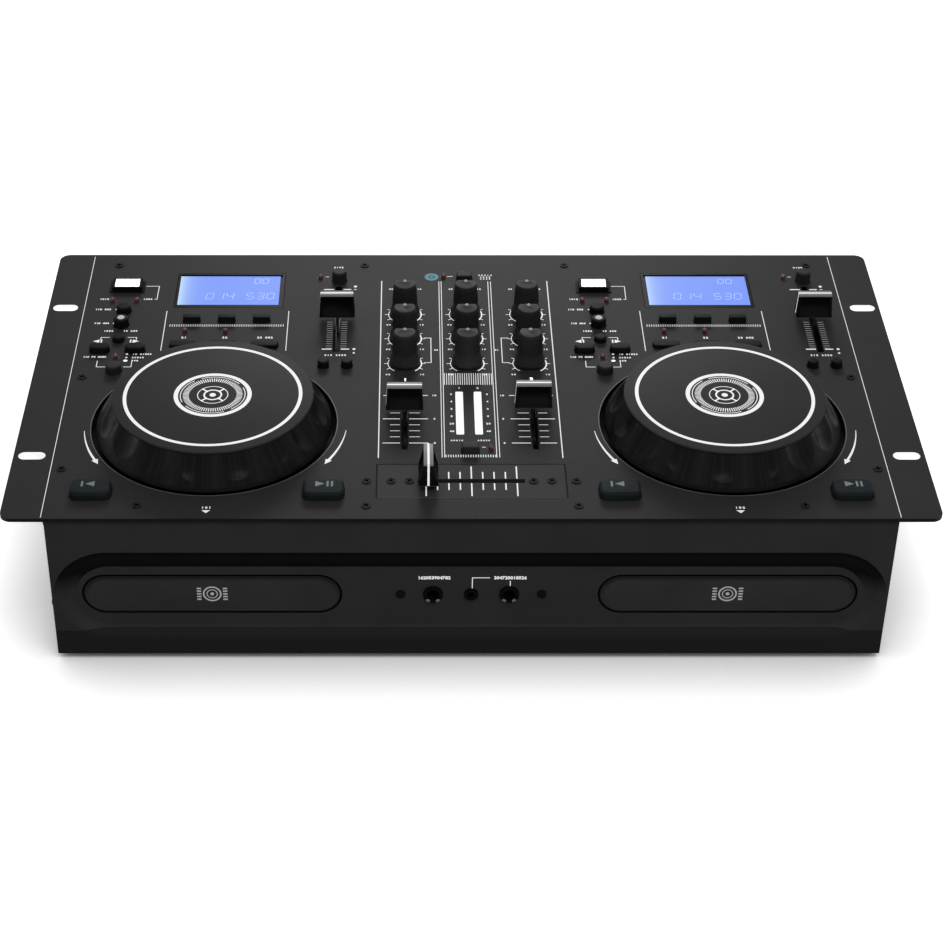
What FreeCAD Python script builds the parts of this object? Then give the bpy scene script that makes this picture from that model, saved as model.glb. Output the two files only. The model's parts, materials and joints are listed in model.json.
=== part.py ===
import FreeCAD, Part
import math
import os

# A rack-width twin CD player with a two-channel mixer between its decks.
# Millimetres. X runs to the right, Y to the back, Z up. The origin is under the middle of the
# panel, at the height that the rubber feet stand on.

V = FreeCAD.Vector
UP = V(0, 0, 1)
BACK = V(0, 1, 0)
RIGHT = V(1, 0, 0)

# ---- driving dimensions ----
rack_width = 482.6              # 19-inch rack panel
rack_units = 6
unit_height = 44.45
panel_depth = rack_units * unit_height - 0.8
panel_thickness = 2.0
panel_corner = 6.0
foot_height = 3.0
case_height = 88.0
case_width = 437.6
front_y = -132.0                # outer face of the front panel
rear_y = 125.0                  # outer face of the rear wall
sheet = 1.2                     # case steel
front_sheet = 1.5

deck_x = 137.0                  # jog centre, left and right of the middle
jog_y = -46.5
mixer_x = 0.6                   # middle line of the mixer
knob_column = 35.0              # outer knob columns from the mixer's middle line
knob_rows = (65.8, 39.7, 13.7)

slot_x = 231.5                  # rack slots
slot_spacing = 149.2
slot_centre_y = -2.4
slot_length = 14.4
slot_width = 6.8

gap = 0.35                      # clearance of a moving cap in its hole
key_travel = 0.8                # small keys
pad_travel = 1.5                # cue and play
tray_travel = 130.0

# ---- levels ----
case_bottom = foot_height
panel_under = case_bottom + case_height
panel_top = panel_under + panel_thickness
flange_top = panel_under - 0.3  # retaining flange of every key
flange_thickness = 1.2
key_bottom = flange_top - flange_thickness
switch_top = key_bottom - key_travel - 0.3
pad_switch_top = key_bottom - pad_travel - 0.3
board_thickness = 1.6
board_top = switch_top - 3.5
board_bottom = board_top - board_thickness

# ---- front ----
recess_depth = 3.5
recess_half_width = 216.0
recess_outer = 28.0             # half height at the front face
recess_inner = 20.0             # half height of its flat floor
row_z = panel_top - 52.3        # middle height of the trays and of the front jacks
recess_y = front_y + recess_depth
tray_x = 135.2
pill_width = 136.4
pill_height = 25.6
door_gap = 1.0
door_thickness = 4.0
jack_x = 20.0
jack_screw_x = 37.0
jack_bore = 3.2                 # 6.35 mm plug
mini_bore = 1.8                 # 3.5 mm plug
jack_depth = 14.0
jack_nose = 4.45
mini_nose = 2.95
nut_rim = 0.8                   # ring nut beyond its nose

# ---- jog wheel ----
jog_hole = 66.1
jog_base = 63.8                 # widest line of the rim
jog_base_height = 0.2
jog_foot = 61.8                 # the rim draws in below its widest line
jog_edge = 54.2
jog_top = 18.35                 # above the panel
platter_radius = 53.9
platter_thickness = 1.2
jog_wall = 4.4
post_radius = 4.0
running_fit = 0.05
hollows = 16                    # finger hollows round the rim
hollow_radius = 19.0
hollow_depth = 2.4
hollow_end = 5.0                # rim left plain below a hollow, along its slope
hollow_turn = 5.0               # degrees

# ---- knobs and faders ----
knob_height = 20.5
knob_skirt_radius = 8.6
knob_neck_radius = 6.9          # where the skirt's flare ends
knob_top_radius = 6.05
knob_flat = 3.5                 # flat face behind the axis
knob_dot_radius = 1.1           # raised pointer dot at the flat's edge
knob_dot_y = 2.4
shaft_radius = 3.0
cap_length = 18.8               # fader cap along its bright ridge
cap_base_length = 20.2          # and at its foot
cap_half_width = 5.15
ridge_half_width = 2.5
cap_height = 17.3
cap_lift = 3.7                  # gap between a cap and the panel
cap_lip = 0.5
cheek = 1.9
lever_width = 4.0
lever_thickness = 1.2
fader_slot = 3.4
pitch_dx = 63.7
pitch_y = 60.3
pitch_travel = 60.0
channel_y = -42.4               # middle of the channel fader travel
channel_travel = 45.0
channel_rest = (-34.8, -32.8)
cross_y = -99.8
cross_travel = 45.0
plate_width = 99.0
plate_depth = 30.2

# ---- display ----
display_width = 63.2
display_depth = 38.3
display_y = 91.7
glass_width = 60.2
glass_depth = 34.0
meter_width = 4.1
meter_length = 41.3
meter_y = -36.4
meter_dx = 5.05

# ---- disc drive ----
tray_bottom = 34.0
tray_top = 41.0
tray_half = 63.0
tray_length = tray_travel + 38.0
drive_half = 65.5
drive_back = 62.0
drive_floor = 15.0
drive_top = 56.0

# Single keys of one deck: name, offset from the jog's centre line, y, width, depth, corner
# radius and height above the panel.
deck_keys = (
    ("cue", -59.7, -109.8, 21.4, 14.4, 4.0, 4.3),
    ("play", 60.7, -109.8, 21.4, 14.4, 4.0, 4.3),
    ("select", -60.2, 68.4, 8.4, 8.4, 4.19, 4.0),
    ("eject", -60.2, 53.6, 8.7, 8.7, 4.34, 5.0),
    ("track", -60.2, 37.1, 6.7, 6.7, 3.34, 3.0),
    ("previous", -69.8, 26.2, 11.3, 6.8, 3.0, 3.6),
    ("next", -49.8, 26.2, 11.3, 6.8, 3.0, 3.6),
    ("jog_mode", -59.7, 5.0, 8.8, 8.8, 4.39, 4.5),
    ("pitch", 63.9, 102.7, 8.6, 8.6, 4.29, 6.8),
    ("bend_minus", 57.0, 10.4, 6.3, 6.3, 3.14, 4.0),
    ("bend_plus", 70.2, 10.4, 6.3, 6.3, 3.14, 4.0),
)
pads = ("cue", "play")
lens_radius = 2.9               # domed white lens on the eject key
lens_height = 0.9

# Keys that share one moulding: name, offsets of its caps, y, width, depth, corner, height.
deck_key_rows = (
    ("display_keys", (-20.1, 0.0, 20.1), 57.5, 9.7, 4.8, 1.0, 4.0),
    ("loop_keys", (-23.1, 0.0, 23.1), 31.5, 15.2, 6.4, 2.0, 2.0),
)

# Keys of the mixer, placed from its middle line.
mixer_keys = (
    ("source_key", 0.0, 104.2, 9.2, 6.2, 1.2, 4.2),
    ("delay_key", 0.0, -72.4, 9.2, 6.2, 1.2, 4.2),
)

# Indicator lights: offset from the jog centre line, y.
deck_lights = ((-67.9, 79.9), (-53.8, 80.1), (-60.0, 19.1), (-23.1, 46.5), (0.0, 46.5), (52.6, 106.0))
mixer_lights = ((-12.3, 107.0), (11.0, -70.2))
light_radius = 1.5
light_height = 0.8              # foot of the dome above the panel

# Panel screws, from the middle of the panel.
panel_screws = (
    (-205.1, 120.4), (-58.6, 120.4), (60.6, 120.4), (205.1, 120.4),
    (-213.6, -1.2), (213.6, -1.2), (-214.4, -89.0), (214.4, -89.0),
    (-171.8, -121.5), (171.8, -121.5), (-54.1, -121.6), (55.3, -121.6),
    (-54.1, -99.8), (55.3, -99.8),
)
plate_screws = (-41.9, -32.4, 32.4, 41.9)
screw_head = 2.5
screw_head_height = 0.5
screw_shank = 1.4
screw_length = 6.0
tab_half = 6.0                  # screw tabs folded in from the case and the front panel
tab_reach = 12.0
side_screw_y = (-119.0, 112.0)
side_screw_z = (panel_top - 12.0, panel_top - 65.0)
side_head = 3.4                 # domed heads of the side screws
side_head_height = 2.9
side_dome = 4.0

# USB sockets in the panel, from the jog's centre line.
usb_dx = -60.5
usb_y = 95.2
usb_collar = (17.6, 10.6)
usb_foot = (20.6, 12.4)
usb_opening = (14.2, 8.6)
usb_tongue = (10.8, 2.2)
usb_height = 3.2

# Rear connectors.
rca_x = (-165.0, -137.0, -109.0)
rca_z = (38.0, 54.0)
rca_radius = 4.15
rca_flange = 4.9
rca_flange_height = 0.8         # above the rear wall
rca_length = 7.5                # above its flange
inlet_x = 185.0
inlet_z = 46.0
switch_x = 150.0
switch_z = 46.0
rocker_tilt = 8.0               # either way from level
rocker_pivot = V(switch_x, rear_y - 1.0, switch_z)

foot_x = 195.0
foot_y = 104.0
foot_radius = 9.0


# ---- helpers ----
def box(x0, x1, y0, y1, z0, z1):
    return Part.makeBox(x1 - x0, y1 - y0, z1 - z0, V(x0, y0, z0))


def cylinder(x, y, z0, z1, r):
    return Part.makeCylinder(r, z1 - z0, V(x, y, z0), UP)


def rod_y(x, z, y0, y1, r):
    return Part.makeCylinder(r, y1 - y0, V(x, y0, z), BACK)


def rounded_box(x, y, width, depth, r, z0, z1):
    """A block with upright rounded corners, centred on x, y."""
    block = box(x - width / 2, x + width / 2, y - depth / 2, y + depth / 2, z0, z1)
    corners = [e for e in block.Edges if abs(e.tangentAt(e.FirstParameter).z) > 0.99]
    return block.makeFillet(r, corners)


def join(shapes):
    """One solid from shapes that overlap."""
    whole = shapes[0].fuse(shapes[1:]) if len(shapes) > 1 else shapes[0]
    return whole.removeSplitter()


def group(shapes):
    return Part.makeCompound(shapes)


def revolve(points, x, y, z):
    """A solid of revolution about an upright axis, from (radius, height) points."""
    outline = Part.makePolygon([V(x + r, y, z + h) for r, h in points + points[:1]])
    return Part.Face(outline).revolve(V(x, y, z), UP, 360)


def save(name, shape):
    shape.exportStep("parts/" + name + ".step")


def pill(x, z, width, height, y0, y1):
    """A bar with round ends, seen from the front."""
    r = height / 2
    straight = width / 2 - r
    return join([
        box(x - straight, x + straight, y0, y1, z - r, z + r),
        rod_y(x - straight, z, y0, y1, r),
        rod_y(x + straight, z, y0, y1, r),
    ])


def dish(depth, outer, inner, y):
    """The front panel's long hollow: a soft shoulder of two equal arcs round a flat floor.
    It is open at y and reaches depth further back."""
    run = outer - inner
    arc_radius = (run ** 2 + depth ** 2) / (4 * depth)
    half_turn = math.asin(run / (2 * arc_radius)) / 2
    along = arc_radius * math.sin(half_turn)
    sag = arc_radius * (1 - math.cos(half_turn))
    floor_y = y + depth
    mid = V(0, y + depth / 2, (outer + inner) / 2)
    edges = [
        Part.makeLine(V(0, y, 0), V(0, y, outer)),
        Part.Arc(V(0, y, outer), V(0, y + sag, outer - along), mid).toShape(),
        Part.Arc(mid, V(0, floor_y - sag, inner + along), V(0, floor_y, inner)).toShape(),
        Part.makeLine(V(0, floor_y, inner), V(0, floor_y, 0)),
        Part.makeLine(V(0, floor_y, 0), V(0, y, 0)),
    ]
    section = Part.Face(Part.Wire(edges))
    straight = recess_half_width - recess_outer
    end = section.revolve(V(0, 0, 0), BACK, 360)
    upper = section.extrude(V(2 * straight, 0, 0))
    upper.translate(V(-straight, 0, 0))
    lower = upper.mirror(V(0, 0, 0), UP)
    left = end.copy()
    left.translate(V(-straight, 0, 0))
    right = end.copy()
    right.translate(V(straight, 0, 0))
    whole = join([upper, lower, left, right])
    whole.translate(V(0, 0, row_z))
    return whole


# ---- panel ----
def key_hole(x, y, width, depth, r):
    return rounded_box(x, y, width + 2 * gap, depth + 2 * gap, r + gap, panel_under - 1, panel_top + 1)


def rack_slot(x, y):
    r = slot_width / 2
    return rounded_box(x, y, slot_length, slot_width, r - 0.01, panel_under - 1, panel_top + 1)


def panel_openings():
    cuts = []
    for x in (-slot_x, slot_x):
        for y in (slot_centre_y - slot_spacing / 2, slot_centre_y + slot_spacing / 2):
            cuts.append(rack_slot(x, y))
    for centre in (-deck_x, deck_x):
        cuts.append(cylinder(centre, jog_y, panel_under - 1, panel_top + 1, jog_hole))
        cuts.append(rounded_box(centre, display_y, display_width + 0.6, display_depth + 0.6, 1.0,
                                panel_under - 1, panel_top + 1))
        wide, deep = usb_collar
        cuts.append(rounded_box(centre + usb_dx, usb_y, wide - 0.8, deep - 0.2, 0.5,
                                panel_under - 1, panel_top + 1))
        for name, dx, y, width, depth, r, height in deck_keys:
            cuts.append(key_hole(centre + dx, y, width, depth, r))
        for name, offsets, y, width, depth, r, height in deck_key_rows:
            for dx in offsets:
                cuts.append(key_hole(centre + dx, y, width, depth, r))
        for dx, y in deck_lights:
            cuts.append(cylinder(centre + dx, y, panel_under - 1, panel_top + 1, light_radius + 0.1))
        half = pitch_travel / 2 + lever_width / 2 + 3.7
        cuts.append(box(centre + pitch_dx - fader_slot / 2, centre + pitch_dx + fader_slot / 2,
                        pitch_y - half, pitch_y + half, panel_under - 1, panel_top + 1))
    for name, dx, y, width, depth, r, height in mixer_keys:
        cuts.append(key_hole(mixer_x + dx, y, width, depth, r))
    for dx, y in mixer_lights:
        cuts.append(cylinder(mixer_x + dx, y, panel_under - 1, panel_top + 1, light_radius + 0.1))
    for x, y in knob_places():
        cuts.append(cylinder(x, y, panel_under - 1, panel_top + 1, 3.7))
    for x in (mixer_x - knob_column, mixer_x + knob_column):
        half = channel_travel / 2 + lever_width / 2 + 4.5
        cuts.append(box(x - fader_slot / 2, x + fader_slot / 2, channel_y - half, channel_y + half,
                        panel_under - 1, panel_top + 1))
    for dx in (-meter_dx, meter_dx):
        cuts.append(rounded_box(mixer_x + dx, meter_y, meter_width + 0.2, meter_length + 0.2, 0.8,
                                panel_under - 1, panel_top + 1))
    cuts.append(rounded_box(mixer_x, cross_y, plate_width + 0.6, plate_depth + 0.6, 0.8,
                            panel_under - 1, panel_top + 1))
    for x, y in panel_screws:
        cuts.append(cylinder(x, y, panel_under - 1, panel_top + 1, screw_shank + 0.2))
    return cuts


def knob_places():
    return [(mixer_x + column * knob_column, y) for y in knob_rows for column in (-1, 0, 1)]


def top_panel():
    plate = rounded_box(0, 0, rack_width, panel_depth, panel_corner, panel_under, panel_top)
    return plate.cut(panel_openings())


def crossfader_plate():
    """The fader's own face plate, flush in the panel, with a flange that hangs below it."""
    plate = rounded_box(mixer_x, cross_y, plate_width, plate_depth, 0.6, panel_under - 1, panel_top)
    flange = rounded_box(mixer_x, cross_y, plate_width + 20, plate_depth + 6, 2.0,
                         panel_under - 1.2, panel_under)
    half = cross_travel / 2 + lever_width / 2 + 3.4
    cuts = [box(mixer_x - half, mixer_x + half, cross_y - fader_slot / 2, cross_y + fader_slot / 2,
                panel_under - 2, panel_top + 1)]
    for dx in plate_screws:
        cuts.append(cylinder(mixer_x + dx, cross_y, panel_under - 2, panel_top + 1, screw_shank + 0.2))
    for x in (-54.1, 55.3):
        cuts.append(cylinder(x, cross_y, panel_under - 2, panel_top + 1, screw_shank + 0.2))
    return join([plate, flange]).cut(cuts)


# ---- case ----
def case():
    """Floor, sides and rear wall folded from one sheet, with inward tabs that the panel screws
    into, and two banks of cooling slots in the rear wall."""
    half = case_width / 2
    front = front_y + front_sheet
    top = panel_under
    shell = box(-half, half, front, rear_y, case_bottom, top)
    inside = box(-half + sheet, half - sheet, front - 1, rear_y - sheet, case_bottom + sheet, top + 1)
    shell = shell.cut(inside)
    tabs = []
    for x, y in panel_screws:
        if y > 100:
            tabs.append(box(x - tab_half, x + tab_half, rear_y - tab_reach, rear_y - 0.1, top - sheet, top))
        elif x < -200:
            tabs.append(box(-half + 0.1, -half + tab_reach, y - tab_half, y + tab_half, top - sheet, top))
        elif x > 200:
            tabs.append(box(half - tab_reach, half - 0.1, y - tab_half, y + tab_half, top - sheet, top))
    cuts = []
    for x, y in panel_screws:
        cuts.append(cylinder(x, y, top - 3, top + 1, screw_shank))
    for x in rca_x:
        for z in rca_z:
            cuts.append(rod_y(x, z, rear_y - 3, rear_y + 1, rca_flange + 0.1))
    cuts.append(box(inlet_x - 10, inlet_x + 10, rear_y - 3, rear_y + 1, inlet_z - 7, inlet_z + 7))
    cuts.append(box(switch_x - 7, switch_x + 7, rear_y - 3, rear_y + 1, switch_z - 10.5, switch_z + 10.5))
    for side in (-1, 1):
        for n in range(12):
            x = side * (20 + 5.0 * n)
            cuts.append(box(x - 1.2, x + 1.2, rear_y - 3, rear_y + 1, 62, 80))
    for y in side_screw_y:
        for z in side_screw_z:
            cuts.append(Part.makeCylinder(screw_shank, case_width + 4, V(-half - 2, y, z), RIGHT))
    for x in (-foot_x, foot_x):
        for y in (-foot_y, foot_y):
            cuts.append(cylinder(x, y, case_bottom - 1, case_bottom + 3, 2.0))
    return join([shell] + tabs).cut(cuts)


def front_panel():
    """Drawn steel front with one long soft hollow, two tray openings, three jack holes and tabs
    at its top edge."""
    half = case_width / 2
    plate = box(-half, half, front_y, front_y + front_sheet, case_bottom, panel_under)
    outer = dish(recess_depth, recess_outer + 0.6, recess_inner + 0.6, front_y + front_sheet)
    inner = dish(recess_depth, recess_outer, recess_inner, front_y)
    skirt = pill(0, row_z, 2 * (recess_half_width + 0.6), 2 * (recess_outer + 0.6),
                 front_y + 0.1, front_y + front_sheet)
    cuts = [inner]
    for x in (-tray_x, tray_x):
        cuts.append(pill(x, row_z, pill_width, pill_height, front_y, recess_y + 5))
    for x in (mixer_x - jack_x, mixer_x + jack_x):
        cuts.append(rod_y(x, row_z, front_y, recess_y + 5, jack_nose + 0.15))
    cuts.append(rod_y(mixer_x, row_z, front_y, recess_y + 5, mini_nose + 0.15))
    for x in (mixer_x - jack_screw_x, mixer_x + jack_screw_x):
        cuts.append(rod_y(x, row_z, front_y, recess_y + 5, screw_shank + 0.2))
    tabs = []
    for x, y in panel_screws:
        if y < -110:
            tabs.append(box(x - tab_half, x + tab_half, front_y + 0.1, front_y + front_sheet + tab_reach,
                            panel_under - sheet, panel_under))
            cuts.append(cylinder(x, y, panel_under - 3, panel_under + 1, screw_shank))
    return join([plate, skirt, outer] + tabs).cut(cuts)


def rubber_feet():
    feet = []
    for x in (-foot_x, foot_x):
        for y in (-foot_y, foot_y):
            foot = Part.makeCone(foot_radius - 0.8, foot_radius, foot_height, V(x, y, 0), UP)
            peg = cylinder(x, y, foot_height - 0.5, case_bottom + sheet + 1.0, 1.95)
            feet.append(join([foot, peg]))
    return group(feet)


def screws():
    solids = []
    for x, y in panel_screws:
        solids.append(join([
            cylinder(x, y, panel_top, panel_top + screw_head_height, screw_head),
            cylinder(x, y, panel_top - screw_length, panel_top + 0.1, screw_shank - 0.05),
        ]))
    for dx in plate_screws:
        x = mixer_x + dx
        solids.append(join([
            cylinder(x, cross_y, panel_top, panel_top + screw_head_height, screw_head),
            cylinder(x, cross_y, panel_top - screw_length, panel_top + 0.1, screw_shank - 0.05),
        ]))
    for x in (mixer_x - jack_screw_x, mixer_x + jack_screw_x):
        solids.append(join([
            rod_y(x, row_z, recess_y - 0.6, recess_y, screw_head),
            rod_y(x, row_z, recess_y - 0.1, recess_y + screw_length, screw_shank - 0.05),
        ]))
    half = case_width / 2
    for side in (-1, 1):
        for y in side_screw_y:
            for z in side_screw_z:
                head = Part.makeSphere(side_dome, V(side * (half + side_head_height - side_dome), y, z))
                keep = Part.makeCylinder(side_head, side_dome, V(side * half, y, z), RIGHT * side)
                shank = Part.makeCylinder(screw_shank - 0.05, screw_length,
                                          V(side * (half + 0.2), y, z), RIGHT * -side)
                solids.append(join([head.common(keep), shank]))
    return group(solids)


# ---- displays, lights and boards ----
def display_modules():
    """Two display blocks with a sunken glass, and the two light bars of the level meter."""
    solids = []
    for centre in (-deck_x, deck_x):
        body = rounded_box(centre, display_y, display_width, display_depth, 0.8, board_top, panel_top)
        glass_y = display_y + 0.9
        window = box(centre - glass_width / 2, centre + glass_width / 2, glass_y - glass_depth / 2,
                     glass_y + glass_depth / 2, panel_top - 2.4, panel_top + 1)
        glass = box(centre - glass_width / 2, centre + glass_width / 2, glass_y - glass_depth / 2,
                    glass_y + glass_depth / 2, panel_top - 2.4, panel_top - 0.8)
        solids.append(body.cut(window))
        solids.append(glass)
    for dx in (-meter_dx, meter_dx):
        solids.append(rounded_box(mixer_x + dx, meter_y, meter_width, meter_length, 0.7,
                                  board_top, panel_top))
    return group(solids)


def tact_switch(x, y, top):
    base = box(x - 3, x + 3, y - 3, y + 3, board_top, top - 1.0)
    return join([base, cylinder(x, y, top - 1.1, top, 1.7)])


def light(x, y):
    stem = cylinder(x, y, board_top, panel_top + light_height, light_radius)
    dome = Part.makeSphere(light_radius, V(x, y, panel_top + light_height))
    return join([stem, dome])


def deck_board(centre):
    """One board under the keys of a deck, cut round the jog wheel's housing."""
    half = 79.5
    board = box(centre - half, centre + half, -118.5, 118.5, board_bottom, board_top)
    cuts = [
        cylinder(centre, jog_y, board_bottom - 1, board_top + 1, 71.0),
        box(centre - 46, centre + 46, -119, jog_y, board_bottom - 1, board_top + 1),
        box(centre + pitch_dx - 5.2, centre + pitch_dx + 5.2, pitch_y - 36.6, pitch_y + 36.6,
            board_bottom - 1, board_top + 1),
    ]
    solids = [board.cut(cuts)]
    for name, dx, y, width, depth, r, height in deck_keys:
        solids.append(tact_switch(centre + dx, y, pad_switch_top if name in pads else switch_top))
    for name, offsets, y, width, depth, r, height in deck_key_rows:
        for dx in offsets:
            solids.append(tact_switch(centre + dx, y, switch_top))
    for dx, y in deck_lights:
        solids.append(light(centre + dx, y))
    return solids


def mixer_board():
    half = 53.0
    board = box(mixer_x - half, mixer_x + half, -80.5, 118.5, board_bottom, board_top)
    cuts = []
    for x, y in knob_places():
        cuts.append(cylinder(x, y, board_bottom - 1, board_top + 1, 9.2))
    for x in (mixer_x - knob_column, mixer_x + knob_column):
        cuts.append(box(x - 5.2, x + 5.2, channel_y - 32.4, channel_y + 32.4,
                        board_bottom - 1, board_top + 1))
    solids = [board.cut(cuts)]
    for name, dx, y, width, depth, r, height in mixer_keys:
        solids.append(tact_switch(mixer_x + dx, y, switch_top))
    for dx, y in mixer_lights:
        solids.append(light(mixer_x + dx, y))
    return solids


def circuit_boards():
    """Deck boards with their switches and lights, the mixer board, the jack board behind the
    front panel and the main board on the case floor."""
    solids = deck_board(-deck_x) + deck_board(deck_x) + mixer_board()
    jack_back = recess_y + front_sheet + jack_depth
    solids.append(box(mixer_x - 34, mixer_x + 34, jack_back + 0.6, jack_back + 0.6 + board_thickness,
                      row_z - 14, row_z + 14))
    solids.append(box(-52, 52, 66, 118, 9, 9 + board_thickness))
    for x in (-40, 0, 40):
        solids.append(cylinder(x, 92, case_bottom + sheet, 9, 3.0))
        solids.append(box(x - 9, x + 9, 80, 98, 9 + board_thickness, 13))
    return group(solids)


# ---- pots ----
def rotary_pot(x, y):
    top = panel_under
    body = cylinder(x, y, top - 9.0, top, 8.4)
    return body.cut(cylinder(x, y, top - 8.0, top + 1, shaft_radius + running_fit))


def slide_pot(x, y, travel, along_x):
    """A flat channel under the panel, slotted for the lever."""
    half = travel / 2 + 6.0
    run = travel / 2 + lever_width / 2 + 1.0
    top = panel_under - (1.2 if along_x else 0)
    wide = 4.6
    if along_x:
        body = box(x - half, x + half, y - wide, y + wide, top - 8.0, top)
        return body.cut(box(x - run, x + run, y - 1.2, y + 1.2, top - 7.0, top + 1))
    body = box(x - wide, x + wide, y - half, y + half, top - 8.0, top)
    return body.cut(box(x - 1.2, x + 1.2, y - run, y + run, top - 7.0, top + 1))


def potentiometers():
    solids = [rotary_pot(x, y) for x, y in knob_places()]
    for centre in (-deck_x, deck_x):
        solids.append(slide_pot(centre + pitch_dx, pitch_y, pitch_travel, False))
    for x in (mixer_x - knob_column, mixer_x + knob_column):
        solids.append(slide_pot(x, channel_y, channel_travel, False))
    solids.append(slide_pot(mixer_x, cross_y, cross_travel, True))
    return group(solids)


# ---- moving controls ----
def knob(x, y):
    """Tapered cap with a flared skirt, a flat at the back and a raised dot, on its round shaft."""
    z = panel_top
    skirt = knob_skirt_radius
    middle = (skirt + knob_neck_radius) / 2 - 0.1
    body = revolve([(0, 0.8), (skirt - 0.2, 0.8), (skirt, 1.6), (skirt, 2.4), (middle, 5.0),
                    (knob_neck_radius, 8.0), (knob_top_radius, knob_height - 0.3),
                    (knob_top_radius - 0.3, knob_height), (0, knob_height)], x, y, z)
    flat = box(x - 10, x + 10, y + knob_flat, y + 10, z + 5.0, z + knob_height + 1)
    dot = Part.makeSphere(knob_dot_radius, V(x, y + knob_dot_y, z + knob_height - 0.3))
    shaft = cylinder(x, y, panel_under - 7.7, z + 2.0, shaft_radius)
    return join([body.cut(flat), dot, shaft])


def fader_cap(x, y, along_x):
    """Cap with a narrow ridge, hollow finger faces between two cheeks, and its lever."""
    z0 = panel_top + cap_lift
    z1 = panel_top + cap_height
    base = cap_half_width
    ridge = ridge_half_width
    mid_z = (z0 + z1) / 2

    def section(hollow):
        side = (base + ridge) / 2 - hollow
        outline = [V(0, -base, z0), V(0, base, z0), V(0, base, z0 + cap_lip), V(0, ridge, z1 - 1.0),
                   V(0, ridge, z1), V(0, -ridge, z1), V(0, -ridge, z1 - 1.0), V(0, -base, z0 + cap_lip)]
        edges = []
        for n, start in enumerate(outline):
            end = outline[(n + 1) % len(outline)]
            if n in (2, 6):
                middle = V(0, side if n == 2 else -side, mid_z + 0.2)
                edges.append(Part.Arc(start, middle, end).toShape())
            else:
                edges.append(Part.makeLine(start, end))
        return Part.Face(Part.Wire(edges))

    core = section(1.3).extrude(V(cap_base_length, 0, 0))
    ends = section(0.25).extrude(V(cheek, 0, 0))
    other = ends.copy()
    other.translate(V(cap_base_length - cheek, 0, 0))
    cap = join([core, ends, other])
    cap.translate(V(-cap_base_length / 2, 0, 0))
    slope = Part.makePolygon([
        V(cap_base_length / 2, -base, z0 + cap_lip), V(cap_length / 2, -base, z1),
        V(cap_length / 2, -base, z1 + 1), V(cap_base_length / 2 + 1, -base, z1 + 1),
        V(cap_base_length / 2 + 1, -base, z0 + cap_lip), V(cap_base_length / 2, -base, z0 + cap_lip)])
    wedge = Part.Face(slope).extrude(V(0, 2 * base, 0))
    cap = cap.cut([wedge, wedge.mirror(V(0, 0, 0), RIGHT)])
    lever = box(-lever_thickness / 2, lever_thickness / 2, -lever_width / 2, lever_width / 2,
                panel_under - (7.9 if along_x else 6.7), z0 + 3)
    if along_x:
        cap.rotate(V(0, 0, 0), UP, 90)
        lever.rotate(V(0, 0, 0), UP, 90)
    whole = join([cap, lever])
    whole.translate(V(x, y, 0))
    return whole


def key_cap(x, y, width, depth, r, height):
    """A key top with a rounded rim, from its flange up through the panel."""
    cap = rounded_box(x, y, width, depth, r, flange_top - 0.1, panel_top + height)
    rim = [e for e in cap.Edges if abs(e.CenterOfMass.z - (panel_top + height)) < 0.01]
    return cap.makeFillet(min(1.8, height * 0.42, depth * 0.14), rim)


def key(x, y, width, depth, r, height):
    flange = rounded_box(x, y, width + 2.4, depth + 2.0, r, key_bottom, flange_top)
    return join([key_cap(x, y, width, depth, r, height), flange])


def lens_key(x, y, width, depth, r, height):
    lens = Part.makeSphere(lens_radius, V(x, y, panel_top + height + lens_height - lens_radius))
    return join([key(x, y, width, depth, r, height), lens])


def key_row(centre, offsets, y, width, depth, r, height):
    """Three caps on the one flexible bar that they are moulded with."""
    caps = [key_cap(centre + dx, y, width, depth, r, height) for dx in offsets]
    bar_width = offsets[-1] - offsets[0] + width + 2.4
    bar = rounded_box(centre, y, bar_width, depth + 2.0, 1.0, key_bottom, flange_top)
    return join(caps + [bar])


def finger_hollow(x, y, z, top):
    """Cutter for one finger hollow: a round bar with a ball end that lies along the rim's slope."""
    low = V(jog_base, 0, jog_base_height)
    slope = V(jog_edge, 0, top).sub(low)
    reach = slope.Length
    slope.normalize()
    outward = V(slope.z, 0, -slope.x)
    half = math.sqrt(hollow_radius ** 2 - (hollow_radius - hollow_depth) ** 2)
    centre = low + slope * (hollow_end + half) + outward * (hollow_radius - hollow_depth)
    bar = Part.makeCylinder(hollow_radius, reach, centre, slope)
    ball = Part.makeSphere(hollow_radius, centre)
    cutter = join([bar, ball])
    cutter.translate(V(x, y, z))
    return cutter


def jog_wheel(centre):
    """Flared rim with finger hollows on a central hub, and the flat platter plate on top."""
    z = panel_top
    top = jog_top - platter_thickness
    outside = [(jog_edge, top), (jog_base, jog_base_height), (jog_base - 0.6, jog_base_height - 0.6),
               (jog_foot, -1.0)]
    inside = [(jog_foot - 2.4, -1.0), (jog_foot - 2.4, 1.8), (jog_edge - jog_wall, top - jog_wall),
              (9.0, top - jog_wall), (9.0, -8.0), (post_radius + running_fit, -8.0),
              (post_radius + running_fit, top - 2.0), (0, top - 2.0), (0, top)]
    wheel = revolve(outside + inside, centre, jog_y, z)
    cutters = []
    for n in range(hollows):
        cutter = finger_hollow(centre, jog_y, z, top)
        cutter.rotate(V(centre, jog_y, z), UP, hollow_turn + 360.0 * (n + 0.5) / hollows)
        cutters.append(cutter)
    plate = revolve([(0, jog_top - 1.2), (platter_radius, jog_top - 1.2), (platter_radius, jog_top - 0.5),
                     (platter_radius - 0.5, jog_top), (0, jog_top)], centre, jog_y, z)
    return group([wheel.cut(cutters), plate])


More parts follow.
